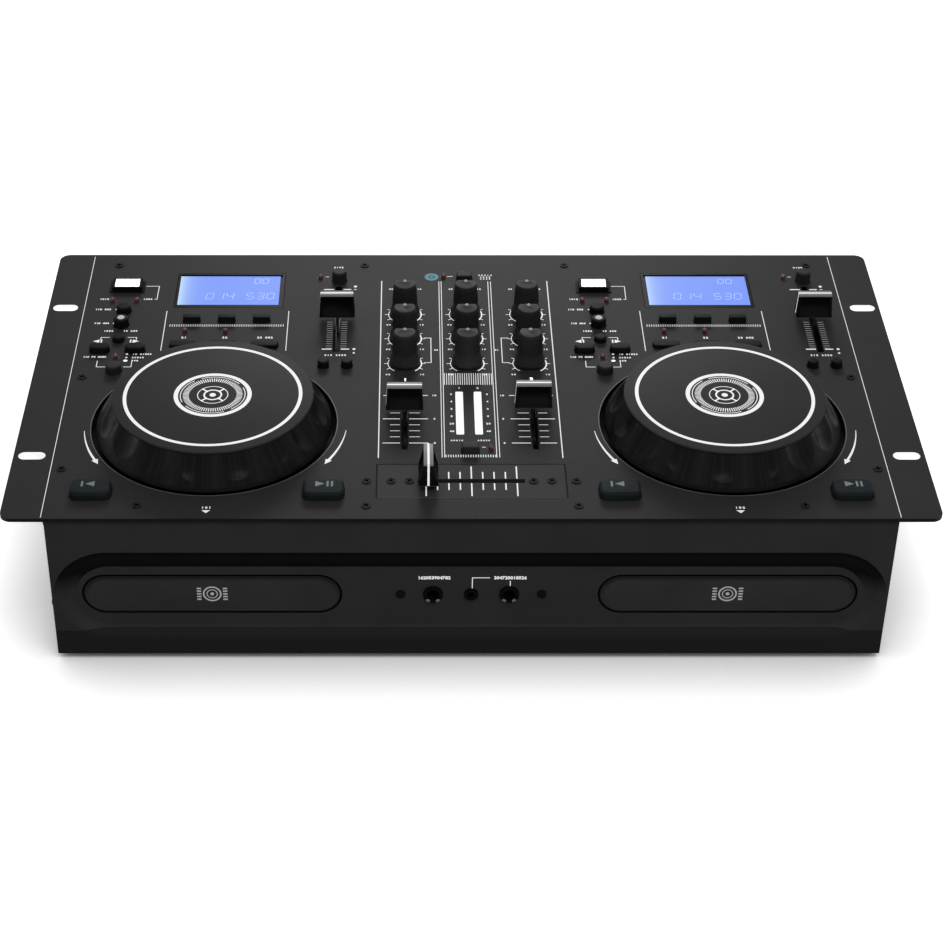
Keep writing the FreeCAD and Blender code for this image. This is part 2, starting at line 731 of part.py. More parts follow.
def jog_bearings():
    """A shallow round housing under each jog wheel with the post that it turns on."""
    solids = []
    for centre in (-deck_x, deck_x):
        floor_top = panel_top - 10.0
        outline = [(0, floor_top - 2.0), (70.0, floor_top - 2.0), (70.0, panel_under), (67.4, panel_under),
                   (67.4, floor_top), (post_radius, floor_top), (post_radius, panel_top + jog_top - 3.8),
                   (0, panel_top + jog_top - 3.8)]
        solids.append(revolve(outline, centre, jog_y, 0))
    return group(solids)


# ---- trays and drives ----
def tray(centre):
    """Tray with a 12 cm and an 8 cm disc seat and a slot for the spindle and pickup, and the
    pill-shaped door clipped to its front."""
    back_of_door = recess_y + door_thickness
    disc_y = recess_y + 8.0 + 60.5
    plate = box(centre - tray_half, centre + tray_half, back_of_door, recess_y + tray_length,
                tray_bottom, tray_top)
    cuts = [
        cylinder(centre, disc_y, tray_top - 2.0, tray_top + 1, 60.8),
        cylinder(centre, disc_y, tray_top - 3.4, tray_top + 1, 40.8),
        cylinder(centre, disc_y, tray_bottom - 1, tray_top + 1, 19.0),
        box(centre - 15, centre + 15, disc_y, disc_y + 58.0, tray_bottom - 1, tray_top + 1),
    ]
    door = pill(centre, row_z, pill_width - 2 * door_gap, pill_height - 2 * door_gap, recess_y, back_of_door)
    return group([plate.cut(cuts), door])


def disc_drive(centre):
    """Frame with rails, spindle motor, pickup sled and the bridge with its clamp disc."""
    front = recess_y + 6.0
    wall = 2.0
    disc_y = recess_y + 8.0 + 60.5
    left = centre - drive_half
    right = centre + drive_half
    frame = [
        box(left, right, front, drive_back, drive_floor, drive_floor + wall),
        box(left, left + wall, front, drive_back, drive_floor, drive_top),
        box(right - wall, right, front, drive_back, drive_floor, drive_top),
        box(left, right, drive_back - wall, drive_back, drive_floor, drive_top),
        box(left, left + 4.6, front, drive_back, tray_bottom - 2.3, tray_bottom - 0.3),
        box(right - 4.6, right, front, drive_back, tray_bottom - 2.3, tray_bottom - 0.3),
        box(left, left + 4.6, front, drive_back, tray_top + 0.3, tray_top + 1.8),
        box(right - 4.6, right, front, drive_back, tray_top + 0.3, tray_top + 1.8),
        box(left, right, disc_y - 14, disc_y + 14, drive_top - wall, drive_top),
    ]
    for x in (left + 8, right - 8):
        for y in (front + 10, drive_back - 12):
            frame.append(cylinder(x, y, case_bottom + sheet, drive_floor + 0.5, 4.0))
    motor = join([
        cylinder(centre, disc_y, drive_floor + wall, 28.0, 12.0),
        cylinder(centre, disc_y, 27.0, 31.5, 1.5),
        cylinder(centre, disc_y, 30.5, tray_bottom - 0.8, 14.0),
    ])
    sled = join([
        box(centre - 22, centre + 22, disc_y + 20, disc_y + 50, drive_floor + wall, 27.0),
        cylinder(centre, disc_y + 30, 26.0, 31.0, 5.0),
    ])
    clamp = cylinder(centre, disc_y, drive_top - wall - 5.0, drive_top - wall, 15.0)
    return [join(frame), motor, sled, clamp]


def disc_drives():
    return group(disc_drive(-tray_x) + disc_drive(tray_x))


def power_supply():
    """Board, transformer, two capacitors and a heat sink between the drives."""
    floor = case_bottom + sheet
    solids = [box(-48, 48, -60, 58, floor + 6, floor + 6 + board_thickness)]
    for x in (-42, 42):
        for y in (-54, 52):
            solids.append(cylinder(x, y, floor, floor + 6, 3.0))
    top = floor + 6 + board_thickness
    solids.append(box(-30, 4, -30, 6, top, top + 32))
    solids.append(cylinder(24, -34, top, top + 28, 9.0))
    solids.append(cylinder(24, -10, top, top + 28, 9.0))
    fins = [box(10, 40, 20, 23, top, top + 30)]
    for n in range(5):
        x = 10 + 7 * n
        fins.append(box(x, x + 1.8, 22, 34, top, top + 30))
    solids.append(join(fins))
    return group(solids)


# ---- sockets ----
def front_jack(x, bore, nose, body):
    """A panel jack: block behind the panel, threaded nose and ring nut in front of it."""
    back = recess_y + front_sheet
    solid = join([
        box(x - body / 2, x + body / 2, back, back + jack_depth, row_z - body / 2, row_z + body / 2),
        rod_y(x, row_z, recess_y - 1.0, back + 0.5, nose),
        rod_y(x, row_z, recess_y - 1.0, recess_y, nose + nut_rim),
    ])
    return solid.cut(rod_y(x, row_z, recess_y - 2.0, back + jack_depth - 1.0, bore))


def usb_socket(centre):
    """A USB socket that faces up through a raised black collar, with its white tongue."""
    x = centre + usb_dx
    wide, deep = usb_collar
    low = rounded_box(x, usb_y, usb_foot[0], usb_foot[1], 1.2, panel_top, panel_top + 0.6)
    high = rounded_box(x, usb_y, wide, deep, 1.0, panel_top + 0.5, panel_top + usb_height)
    stem = rounded_box(x, usb_y, wide - 1.2, deep - 0.6, 0.5, board_top, panel_top + 0.3)
    mouth = rounded_box(x, usb_y, usb_opening[0], usb_opening[1], 0.4, board_top + 2, panel_top + 4)
    collar = join([low, high, stem]).cut(mouth)
    tongue_y = usb_y + 2.1
    tongue = rounded_box(x, tongue_y, usb_tongue[0], usb_tongue[1], 0.2, board_top + 2,
                         panel_top + usb_height - 0.6)
    return [collar, tongue]


def rca_socket(x, z):
    """A phono socket: block inside, insulating flange in the wall and the plated barrel."""
    inside = rear_y - sheet
    face = rear_y + rca_flange_height
    return join([
        box(x - 6, x + 6, inside - 12, inside, z - 6, z + 6),
        rod_y(x, z, inside - 1, face, rca_flange),
        rod_y(x, z, inside - 1, face + rca_length, rca_radius),
    ]).cut(rod_y(x, z, face, face + rca_length + 1, 1.6))


def mains_inlet():
    """Two-pin figure-8 inlet, open to the rear: the moulded body and its two pins."""
    front = rear_y + 1.5
    back = rear_y - 16.0
    body = join([
        box(inlet_x - 9.8, inlet_x + 9.8, back, front, inlet_z - 6.8, inlet_z + 6.8),
        box(inlet_x - 13, inlet_x + 13, rear_y, front, inlet_z - 8.5, inlet_z + 8.5),
    ])
    cavity = rounded_box(0, 0, 15.0, 8.6, 4.2, 0, 13.0)
    cavity.rotate(V(0, 0, 0), RIGHT, 90)
    cavity.translate(V(inlet_x, front + 1, inlet_z))
    body = body.cut(cavity)
    pins = [rod_y(inlet_x + side * 4.3, inlet_z, front - 14.5, front - 2.5, 1.2) for side in (-1, 1)]
    return [body.cut(pins)] + pins


def switch_frame():
    frame = join([
        box(switch_x - 6.8, switch_x + 6.8, rear_y - 14, rear_y + 1.0, switch_z - 10.2, switch_z + 10.2),
        box(switch_x - 8.5, switch_x + 8.5, rear_y, rear_y + 1.4, switch_z - 12.2, switch_z + 12.2),
    ])
    well = box(switch_x - 5.4, switch_x + 5.4, rear_y - 9, rear_y + 3, switch_z - 9.0, switch_z + 9.0)
    return frame.cut(well)


def power_switch():
    """Rocker that tilts about a level axis inside its frame, shown switched off."""
    outline = [
        V(switch_x - 5.0, rear_y - 6.0, switch_z - 4.0),
        V(switch_x - 5.0, rear_y + 2.2, switch_z - 8.4),
        V(switch_x - 5.0, rear_y + 0.8, switch_z),
        V(switch_x - 5.0, rear_y + 2.2, switch_z + 8.4),
        V(switch_x - 5.0, rear_y - 6.0, switch_z + 4.0),
    ]
    face = Part.Face(Part.makePolygon(outline + outline[:1]))
    rocker = face.extrude(V(10.0, 0, 0))
    rocker.rotate(rocker_pivot, RIGHT, -rocker_tilt)
    return rocker


def sockets():
    solids = [
        front_jack(mixer_x - jack_x, jack_bore, jack_nose, 15.0),
        front_jack(mixer_x + jack_x, jack_bore, jack_nose, 15.0),
        front_jack(mixer_x, mini_bore, mini_nose, 9.0),
    ]
    for centre in (-deck_x, deck_x):
        solids.extend(usb_socket(centre))
    for x in rca_x:
        for z in rca_z:
            solids.append(rca_socket(x, z))
    solids.extend(mains_inlet())
    solids.append(switch_frame())
    return group(solids)


# ---- assembly ----
def main():
    os.makedirs("parts", exist_ok=True)
    save("top_panel", top_panel())
    save("crossfader_plate", crossfader_plate())
    save("case", case())
    save("front_panel", front_panel())
    save("rubber_feet", rubber_feet())
    save("screws", screws())
    save("display_modules", display_modules())
    save("circuit_boards", circuit_boards())
    save("potentiometers", potentiometers())
    save("jog_bearings", jog_bearings())
    save("disc_drives", disc_drives())
    save("power_supply", power_supply())
    save("sockets", sockets())
    save("power_switch", power_switch())

    for side, centre in (("left", -deck_x), ("right", deck_x)):
        save(side + "_jog_wheel", jog_wheel(centre))
        save(side + "_tray", tray(math.copysign(tray_x, centre)))
        save(side + "_pitch_fader", fader_cap(centre + pitch_dx, pitch_y, False))
        for name, dx, y, width, depth, r, height in deck_keys:
            make = lens_key if name == "eject" else key
            save(side + "_" + name, make(centre + dx, y, width, depth, r, height))
        for name, offsets, y, width, depth, r, height in deck_key_rows:
            save(side + "_" + name, key_row(centre, offsets, y, width, depth, r, height))

    for name, dx, y, width, depth, r, height in mixer_keys:
        save(name, key(mixer_x + dx, y, width, depth, r, height))
    for row, y in enumerate(knob_rows, 1):
        for column, dx in (("left", -knob_column), ("centre", 0), ("right", knob_column)):
            save(column + "_knob_" + str(row), knob(mixer_x + dx, y))
    save("left_channel_fader", fader_cap(mixer_x - knob_column, channel_rest[0], False))
    save("right_channel_fader", fader_cap(mixer_x + knob_column, channel_rest[1], False))
    save("crossfader", fader_cap(mixer_x - cross_travel / 2, cross_y, True))


main()
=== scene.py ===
import bmesh
import bpy
import json
import math
from mathutils import Matrix, Vector


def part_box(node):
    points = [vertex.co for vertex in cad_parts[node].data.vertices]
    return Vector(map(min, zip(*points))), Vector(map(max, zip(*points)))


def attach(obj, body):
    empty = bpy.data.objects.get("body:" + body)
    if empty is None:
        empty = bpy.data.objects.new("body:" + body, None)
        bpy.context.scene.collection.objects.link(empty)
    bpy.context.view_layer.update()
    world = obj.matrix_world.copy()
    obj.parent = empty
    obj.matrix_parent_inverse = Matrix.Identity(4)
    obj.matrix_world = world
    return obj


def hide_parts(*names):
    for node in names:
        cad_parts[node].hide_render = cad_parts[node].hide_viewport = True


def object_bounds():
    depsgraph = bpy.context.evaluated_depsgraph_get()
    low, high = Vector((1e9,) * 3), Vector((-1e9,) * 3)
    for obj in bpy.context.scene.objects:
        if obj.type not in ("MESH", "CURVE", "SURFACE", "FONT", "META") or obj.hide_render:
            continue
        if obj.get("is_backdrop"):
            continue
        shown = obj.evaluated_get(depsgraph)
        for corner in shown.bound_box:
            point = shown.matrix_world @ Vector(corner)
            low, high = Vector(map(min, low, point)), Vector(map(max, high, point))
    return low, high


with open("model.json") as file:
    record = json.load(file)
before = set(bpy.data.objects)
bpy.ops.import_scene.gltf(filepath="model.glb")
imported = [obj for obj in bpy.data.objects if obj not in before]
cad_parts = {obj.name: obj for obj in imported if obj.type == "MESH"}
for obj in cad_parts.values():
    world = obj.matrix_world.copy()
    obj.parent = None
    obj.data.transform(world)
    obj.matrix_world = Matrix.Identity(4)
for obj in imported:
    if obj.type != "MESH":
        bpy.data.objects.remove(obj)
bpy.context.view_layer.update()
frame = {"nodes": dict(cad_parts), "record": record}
nodes = frame["nodes"]
scene = bpy.context.scene
mm = 0.001
panelTop = 93.0    # all layout numbers below are in millimetres
frontFace = -132.0
recessFace = -128.5
rearFace = 125.0
deckX = 137.0
jogY = -46.5
mixerX = 0.6
plateY = -99.8
trayX = 135.2
rowZ = 40.7
decks = (("left", -deckX), ("right", deckX))
print("frame loaded:", len(nodes), "nodes")


# ---- node helpers ----
def link(source, target):
    source.id_data.links.new(source, target)


# a colour is linear; one number alone is a grey
def tone(colour):
    return colour if isinstance(colour, tuple) else (colour, colour, colour * 1.03)


def feed(value, target):
    if isinstance(value, bpy.types.NodeSocket):
        link(value, target)
    elif target.type == "RGBA":
        target.default_value = (*tone(value), 1)
    else:
        target.default_value = value


# a node whose inputs take sockets or plain values
def add(tree, kind, **inputs):
    node = tree.nodes.new(kind)
    for label, value in inputs.items():
        feed(value, node.inputs[label.replace("_", " ")])
    return node


# a math node in the tree of the first value that is a socket
def calc(operation, *values):
    tree = next(value.id_data for value in values if isinstance(value, bpy.types.NodeSocket))
    node = tree.nodes.new("ShaderNodeMath")
    node.operation = operation
    for value, target in zip(values, node.inputs):
        feed(value, target)
    return node.outputs[0]


def times(first, second):
    return calc("MULTIPLY", first, second)


def minus(first, second):
    return calc("SUBTRACT", first, second)


def larger(first, second):
    return calc("MAXIMUM", first, second)


# the limits of above and below are in mm
def above(value, limit):
    return calc("GREATER_THAN", value, limit * mm)


def below(value, limit):
    return calc("LESS_THAN", value, limit * mm)


def anyOf(masks):
    whole = masks[0]
    for mask in masks[1:]:
        whole = larger(whole, mask)
    return whole


def joinValues(tree, x, y, z):
    return add(tree, "ShaderNodeCombineXYZ", X=x, Y=y, Z=z).outputs[0]


def splitValues(vector):
    return add(vector.id_data, "ShaderNodeSeparateXYZ", Vector=vector).outputs


def objectPlace(tree):
    place = tree.nodes.get("place")
    if place is None:
        place = tree.nodes.new("ShaderNodeTexCoord")
        place.name = "place"
    return place.outputs["Object"]


def axisValues(tree):
    split = tree.nodes.get("axes")
    if split is None:
        split = add(tree, "ShaderNodeSeparateXYZ", Vector=objectPlace(tree))
        split.name = "axes"
    return split.outputs


# limits are (low, high) pairs in mm for x, y, z; None leaves an axis free
def insideBox(tree, *limits):
    mask = None
    for value, pair in zip(axisValues(tree), limits):
        if pair is None:
            continue
        low, high = pair
        part = calc("COMPARE", value, (low + high) / 2 * mm, (high - low) / 2 * mm)
        mask = part if mask is None else times(mask, part)
    return mask


# within radius of an upright axis at x, y, or of a level one that runs back at x, z
def insideRound(tree, x, y, radius, axis="z"):
    first, second, third = axisValues(tree)
    away = tree.nodes.new("ShaderNodeVectorMath")
    away.operation = "DISTANCE"
    link(joinValues(tree, first, second if axis == "z" else third, 0), away.inputs[0])
    away.inputs[1].default_value = (x * mm, y * mm, 0)
    return below(away.outputs["Value"], radius)


def mixColours(tree, mask, first, second):
    mix = tree.nodes.new("ShaderNodeMix")
    mix.data_type = "RGBA"
    for value, target in zip((mask, first, second), (mix.inputs[0], mix.inputs[6], mix.inputs[7])):
        feed(value, target)
    return mix.outputs[2]


# size is the width of one blotch in mm
def noise(tree, size, detail=3.0):
    scale = 1 / (size * mm)
    place = objectPlace(tree)
    return add(tree, "ShaderNodeTexNoise", Vector=place, Scale=scale, Detail=detail).outputs["Fac"]


def spread(value, low, high):
    limits = {"From_Min": 0.3, "From_Max": 0.7, "To_Min": low, "To_Max": high}
    return add(value.id_data, "ShaderNodeMapRange", Value=value, **limits).outputs[0]


# 0 below start, 1 above end, and a straight ramp between; both are in mm
def ramp(value, start, end):
    limits = {"From_Min": start * mm, "From_Max": end * mm}
    return add(value.id_data, "ShaderNodeMapRange", Value=value, **limits).outputs[0]


# distance from the level middle line of a pill at x, and the height above that line
def pillValues(tree, x, half):
    across, unused, height = axisValues(tree)
    side = larger(minus(calc("ABSOLUTE", minus(across, x * mm)), half * mm), 0.0)
    up = minus(height, rowZ * mm)
    return calc("SQRT", calc("ADD", times(side, side), times(up, up))), up


# grain is the width of the surface's fine texture in mm, depth its height
def finish(name, colour, roughness, grain=0.35, depth=0.012, metallic=0.0, tint=0.15, shine=0.5):
    material = bpy.data.materials.new(name)
    material.use_nodes = True
    tree = material.node_tree
    darker, lighter = (tuple(c * level for c in tone(colour)) for level in (1 - tint, 1 + tint))
    fine = noise(tree, grain)
    bump = add(tree, "ShaderNodeBump", Strength=0.6, Distance=depth * mm, Height=fine)
    settings = {
        "Base Color": mixColours(tree, spread(noise(tree, 28, 2), 0, 1), darker, lighter),
        "Roughness": spread(fine, roughness * 0.88, min(1, roughness * 1.12)),
        "Metallic": metallic, "Specular IOR Level": shine, "Normal": bump.outputs[0],
    }
    for label, value in settings.items():
        feed(value, shaderInputs(material)[label])
    return material


def shaderInputs(material):
    return material.node_tree.nodes["Principled BSDF"].inputs


# paints a region of a finish with another colour
def recolour(material, mask, colour):
    target = shaderInputs(material)["Base Color"]
    link(mixColours(material.node_tree, mask, target.links[0].from_socket, colour), target)


def glow(material, mask, colour, strength):
    inputs = shaderInputs(material)
    inputs["Emission Strength"].default_value = strength
    target = inputs["Emission Color"]
    before = target.links[0].from_socket if target.links else 0.0
    link(mixColours(material.node_tree, mask, before, colour), target)


# painted light: paints a region pale and makes it shine by itself
def lightUp(material, mask, colour, strength):
    recolour(material, mask, colour)
    glow(material, mask, colour, strength)


# makes a region of a finish bare metal
def plate(material, mask, level):
    recolour(material, mask, level)
    target = shaderInputs(material)["Metallic"]
    before = target.links[0].from_socket if target.links else 0.0
    link(larger(before, mask), target)


def roughen(material, mask, roughness):
    target = shaderInputs(material)["Roughness"]
    values = {"Factor": mask, "A": target.links[0].from_socket, "B": roughness}
    link(add(material.node_tree, "ShaderNodeMix", **values).outputs["Result"], target)


def dress(material, *names):
    for name in names:
        mesh = nodes[name].data
        mesh.materials.clear()
        mesh.materials.append(material)
        for face in mesh.polygons:
            face.material_index = 0


# ---- mesh helpers ----
def meshObject(name, mesh):
    piece = bpy.data.objects.new(name, mesh)
    scene.collection.objects.link(piece)
    return piece


# a finished mesh becomes a piece that rides on a body
def settle(name, mesh, material, body, stands=(), degrees=None):
    if material is not None:
        mesh.materials.clear()
        mesh.materials.append(material)
    if degrees:
        mesh.shade_smooth()
        mesh.set_sharp_from_angle(angle=math.radians(degrees))
    piece = meshObject(name, mesh)
    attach(piece, body)
    if stands:
        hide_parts(*stands)


def plainCopy(shape, name):
    mesh = bpy.data.meshes.new(name)
    shape.to_mesh(mesh)
    shape.free()
    return mesh


def closeMesh(shape, name, matrix=None):
    bmesh.ops.recalc_face_normals(shape, faces=shape.faces[:])
    if matrix is not None:
        shape.transform(matrix)
    return plainCopy(shape, name)


# turns a (radius, height) outline about an upright axis; a radius of 0 is a pole
def turned(outline, segments, x, y, z):
    shape = bmesh.new()
    rings = []
    for radius, height in outline:
        if radius == 0:
            rings.append([shape.verts.new((x * mm, y * mm, (z + height) * mm))])
            continue
        ring = []
        for n in range(segments):
            angle = 2 * math.pi * n / segments
            place = (x + radius * math.cos(angle), y + radius * math.sin(angle), z + height)
            ring.append(shape.verts.new(Vector(place) * mm))
        rings.append(ring)
    for low, high in zip(rings, rings[1:]):
        for n in range(segments):
            m = (n + 1) % segments
            if len(low) == 1:
                shape.faces.new((low[0], high[m], high[n]))
            elif len(high) == 1:
                shape.faces.new((low[n], low[m], high[0]))
            else:
                shape.faces.new((low[n], low[m], high[m], high[n]))
    return shape


# a merged copy of a CAD node's mesh, so that its round faces shade smoothly
def smoothCopy(node, material, degrees=32, soften=0.0):
    shape = bmesh.new()
    shape.from_mesh(nodes[node].data)
    bmesh.ops.remove_doubles(shape, verts=shape.verts[:], dist=0.002 * mm)
    flat = math.radians(0.5)
    bmesh.ops.dissolve_limit(shape, angle_limit=flat, verts=shape.verts[:], edges=shape.edges[:])
    mesh = plainCopy(shape, node + "_body")
    if soften:
        holder = meshObject("holder", mesh)
        bevel = holder.modifiers.new("soften", "BEVEL")
        bevel.width = soften * mm
        bevel.segments = 2
        bevel.limit_method = "ANGLE"
        bevel.angle_limit = math.radians(40)
        mesh = plainMesh(holder, node + "_body")
    settle(node + "_body", mesh, material, bodyOf[node], (node,), degrees)


def plainMesh(holder, name):
    graph = bpy.context.evaluated_depsgraph_get()
    mesh = bpy.data.meshes.new_from_object(holder.evaluated_get(graph), depsgraph=graph)
    mesh.name = name
    holder.modifiers.clear()
    bpy.data.objects.remove(holder)
    return mesh


bodyOf = {node: body for body, names in frame["record"]["behaviour"]["bodies"].items() for node in names}


# ---- geometry node trees ----
def newTree(name, sizes):
    tree = bpy.data.node_groups.new(name, "GeometryNodeTree")
    face = tree.interface
    face.new_socket("Geometry", in_out="INPUT", socket_type="NodeSocketGeometry")
    for label, value in sizes.items():
        kind = {tuple: "Vector", int: "Int"}.get(type(value), "Float")
        socket = face.new_socket(label, in_out="INPUT", socket_type="NodeSocket" + kind)
        socket.default_value = value
    face.new_socket("Material", in_out="INPUT", socket_type="NodeSocketMaterial")
    face.new_socket("Geometry", in_out="OUTPUT", socket_type="NodeSocketGeometry")
    return tree, tree.nodes.new("NodeGroupInput").outputs


def endTree(tree, geometry, given):
    realize = add(tree, "GeometryNodeRealizeInstances", Geometry=geometry)
    paint = add(tree, "GeometryNodeSetMaterial", Geometry=realize.outputs[0], Material=given["Material"])
    add(tree, "NodeGroupOutput", Geometry=paint.outputs[0])
    return tree


# evaluates a tree on a base mesh and returns the plain mesh
def grow(tree, name, material, values, base=None):
    holder = meshObject("holder", base or bpy.data.meshes.new("holder"))
    modifier = holder.modifiers.new("grow", "NODES")
    modifier.node_group = tree
    values = {**values, "Material": material}
    for item in tree.interface.items_tree:
        if item.item_type == "SOCKET" and item.in_out == "INPUT" and item.name in values:
            modifier[item.identifier] = values[item.name]
    return plainMesh(holder, name)


# a straight row of small blocks
def tickRowTree():
    sizes = {"Count": 10, "Start": (0.0, 0.0, 0.0), "Step": (0.001, 0.0, 0.0),
             "Tick": (0.0004, 0.002, 0.0001)}
    tree, given = newTree("tickRow", sizes)
    places = {"Count": given["Count"], "Start_Location": given["Start"], "Offset": given["Step"]}
    line = add(tree, "GeometryNodeMeshLine", **places)
    block = add(tree, "GeometryNodeMeshCube", Size=given["Tick"])
    stamp = add(tree, "GeometryNodeInstanceOnPoints", Points=line.outputs[0], Instance=block.outputs[0])
    return endTree(tree, stamp.outputs[0], given)


# blocks round a circle that lean inwards by Lean; those behind Back are left out
def tickRingTree():
    sizes = {"Count": 60, "Radius": 0.01, "Lean": 0.0, "Back": 1.0, "Tick": (0.002, 0.0004, 0.0001),
             "Centre": (0.0, 0.0, 0.0)}
    tree, given = newTree("tickRing", sizes)
    x, y, unused = splitValues(tree.nodes.new("GeometryNodeInputPosition").outputs[0])
    angles = joinValues(tree, 0, times(given["Lean"], -1), calc("ARCTAN2", y, x))
    turn = add(tree, "FunctionNodeEulerToRotation", Euler=angles)
    circle = add(tree, "GeometryNodeMeshCircle", Vertices=given["Count"], Radius=given["Radius"])
    block = add(tree, "GeometryNodeMeshCube", Size=given["Tick"])
    kept = calc("LESS_THAN", y, given["Back"])
    stamp = add(tree, "GeometryNodeInstanceOnPoints", Points=circle.outputs[0], Instance=block.outputs[0],
                Rotation=turn.outputs[0], Selection=kept)
    move = add(tree, "GeometryNodeTransform", Geometry=stamp.outputs[0], Translation=given["Centre"])
    return endTree(tree, move.outputs[0], given)


# two crossed bars on every point of the base mesh
def crossTree():
    tree, given = newTree("screwCross", {"Bar": (0.003, 0.0008, 0.0001), "Turn": 0.0})
    wide, deep, high = splitValues(given["Bar"])
    both = tree.nodes.new("GeometryNodeJoinGeometry")
    for size in (given["Bar"], joinValues(tree, deep, wide, high)):
        link(add(tree, "GeometryNodeMeshCube", Size=size).outputs[0], both.inputs[0])
    angle = times(tree.nodes.new("GeometryNodeInputIndex").outputs[0], given["Turn"])
    turn = add(tree, "FunctionNodeEulerToRotation", Euler=joinValues(tree, 0, 0, angle))
    stamp = add(tree, "GeometryNodeInstanceOnPoints", Points=given["Geometry"], Instance=both.outputs[0],
                Rotation=turn.outputs[0])
    return endTree(tree, stamp.outputs[0], given)


# sinks ball-ended hollows into the sloping rim of a turned wheel; the vertex attribute
# onRim marks the slope, which starts at Foot and runs in the direction Slope
def hollowTree():
    sizes = {"Hollows": 16, "Radius": 0.019, "Depth": 0.0024, "Start": 0.012,
             "Turn": 0.0, "Centre": (0.0, 0.0, 0.0), "Foot": (0.0638, 0.0, 0.0), "Slope": (0.0, 0.0, 1.0)}
    tree, given = newTree("fingerHollows", sizes)
    local = tree.nodes.new("ShaderNodeVectorMath")
    local.operation = "SUBTRACT"
    link(tree.nodes.new("GeometryNodeInputPosition").outputs[0], local.inputs[0])
    link(given["Centre"], local.inputs[1])
    x, y, z = splitValues(local.outputs[0])
    reach = calc("SQRT", calc("MULTIPLY_ADD", x, x, times(y, y)))
    angle = calc("ARCTAN2", y, x)
    sector = calc("DIVIDE", 2 * math.pi, given["Hollows"])
    part = minus(calc("FRACT", calc("DIVIDE", minus(angle, given["Turn"]), sector)), 0.5)
    side = times(reach, calc("SINE", times(part, sector)))
    footRadius, unused, footHeight = splitValues(given["Foot"])
    slopeIn, unused, slopeUp = splitValues(given["Slope"])
    upward = times(minus(z, footHeight), slopeUp)
    along = calc("MULTIPLY_ADD", minus(reach, footRadius), slopeIn, upward)
    short = calc("MINIMUM", minus(along, given["Start"]), 0)
    radius = given["Radius"]
    square = minus(minus(times(radius, radius), times(side, side)), times(short, short))
    sink = minus(calc("SQRT", larger(square, 0)), minus(radius, given["Depth"]))
    mark = add(tree, "GeometryNodeInputNamedAttribute", Name="onRim")
    sink = times(larger(sink, 0), mark.outputs["Attribute"])
    level = times(times(sink, slopeUp), -1)
    offset = joinValues(tree, times(level, calc("COSINE", angle)), times(level, calc("SINE", angle)),
                        times(sink, slopeIn))
    carve = add(tree, "GeometryNodeSetPosition", Geometry=given["Geometry"], Offset=offset)
    return endTree(tree, carve.outputs[0], given)


tickRow = tickRowTree()
tickRing = tickRingTree()
screwCross = crossTree()
fingerHollows = hollowTree()
print("trees ready")


# ---- flat prints ----
inkHeight = 0.05


def newInk():
    return {"shape": bmesh.new(), "rows": []}


def slab(ink, points):
    shape = ink["shape"]
    low = [shape.verts.new((x, y, 0)) for x, y in points]
    high = [shape.verts.new((x, y, inkHeight)) for x, y in points]
    shape.faces.new(low[::-1])
    shape.faces.new(high)
    for n in range(len(points)):
        m = (n + 1) % len(points)
        shape.faces.new((low[n], low[m], high[m], high[n]))


def patch(ink, x0, x1, y0, y1):
    slab(ink, [(x0, y0), (x1, y0), (x1, y1), (x0, y1)])


def stroke(ink, points, width, closed=False):
    shape = ink["shape"]
    rows = []
    count = len(points)
    for n, point in enumerate(points):
        here = Vector(point)
        ahead = Vector(points[(n + 1) % count]) - here
        behind = here - Vector(points[n - 1])
        if not closed and n == 0:
            behind = ahead
        if not closed and n == count - 1:
            ahead = behind
        ahead.normalize()
        behind.normalize()
        middle = (ahead + behind).normalized()
        side = Vector((-middle.y, middle.x)) * (width / 2 / max(0.4, middle.dot(ahead)))
        left, right = here + side, here - side
        rows.append([shape.verts.new(place) for place in (
            (left.x, left.y, 0), (left.x, left.y, inkHeight),
            (right.x, right.y, inkHeight), (right.x, right.y, 0))])
    for n in range(count if closed else count - 1):
        first, second = rows[n], rows[(n + 1) % count]
        for k in range(4):
            m = (k + 1) % 4
            shape.faces.new((first[k], first[m], second[m], second[k]))
    if not closed:
        shape.faces.new(rows[0][::-1])
        shape.faces.new(rows[-1])


def arcPoints(x, y, radius, start, end, steps=24):
    angles = [math.radians(start + (end - start) * n / steps) for n in range(steps + 1)]
    return [(x + radius * math.cos(a), y + radius * math.sin(a)) for a in angles]


def ring(ink, x, y, radius, width, steps):
    stroke(ink, arcPoints(x, y, radius, 0, 360, steps)[:-1], width, closed=True)


def dot(ink, x, y, radius, steps=20):
    slab(ink, arcPoints(x, y, radius, 0, 360, steps)[:-1])


# count blocks of size wide by long from start, each step further on
def row(ink, count, start, step, wide, long):
    ink["rows"].append((count, start, step, wide, long))


# Blender's own numerals, one closed mesh for each
def numeralShapes():
    holders = {}
    for character in "0123456789":
        curve = bpy.data.curves.new("numeral", "FONT")
        curve.body = character
        curve.size = 1.0
        curve.resolution_u = 2
        curve.offset = 0.05
        holders[character] = meshObject("numeral", curve)
    graph = bpy.context.evaluated_depsgraph_get()
    shapes = {}
    for character, holder in holders.items():
        mesh = bpy.data.meshes.new_from_object(holder.evaluated_get(graph), depsgraph=graph)
        flat = bmesh.new()
        flat.from_mesh(mesh)
        bmesh.ops.remove_doubles(flat, verts=flat.verts[:], dist=0.0005)
        corners = [vert.co.xy for vert in flat.verts]
        low = Vector([min(c[k] for c in corners) for k in (0, 1)])
        high = Vector([max(c[k] for c in corners) for k in (0, 1)])
        flat.verts.index_update()
        shapes[character] = {
            "points": [vert.co.xy - (low + high) / 2 for vert in flat.verts],
            "faces": [[vert.index for vert in face.verts] for face in flat.faces],
            "edges": [[vert.index for vert in edge.verts] for edge in flat.edges if edge.is_boundary],
        }
        if character == "0":
            shapes["height"] = high.y - low.y
            shapes["advance"] = (high.x - low.x) * 1.22
        flat.free()
        bpy.data.objects.remove(holder)
    return shapes


numerals = numeralShapes()


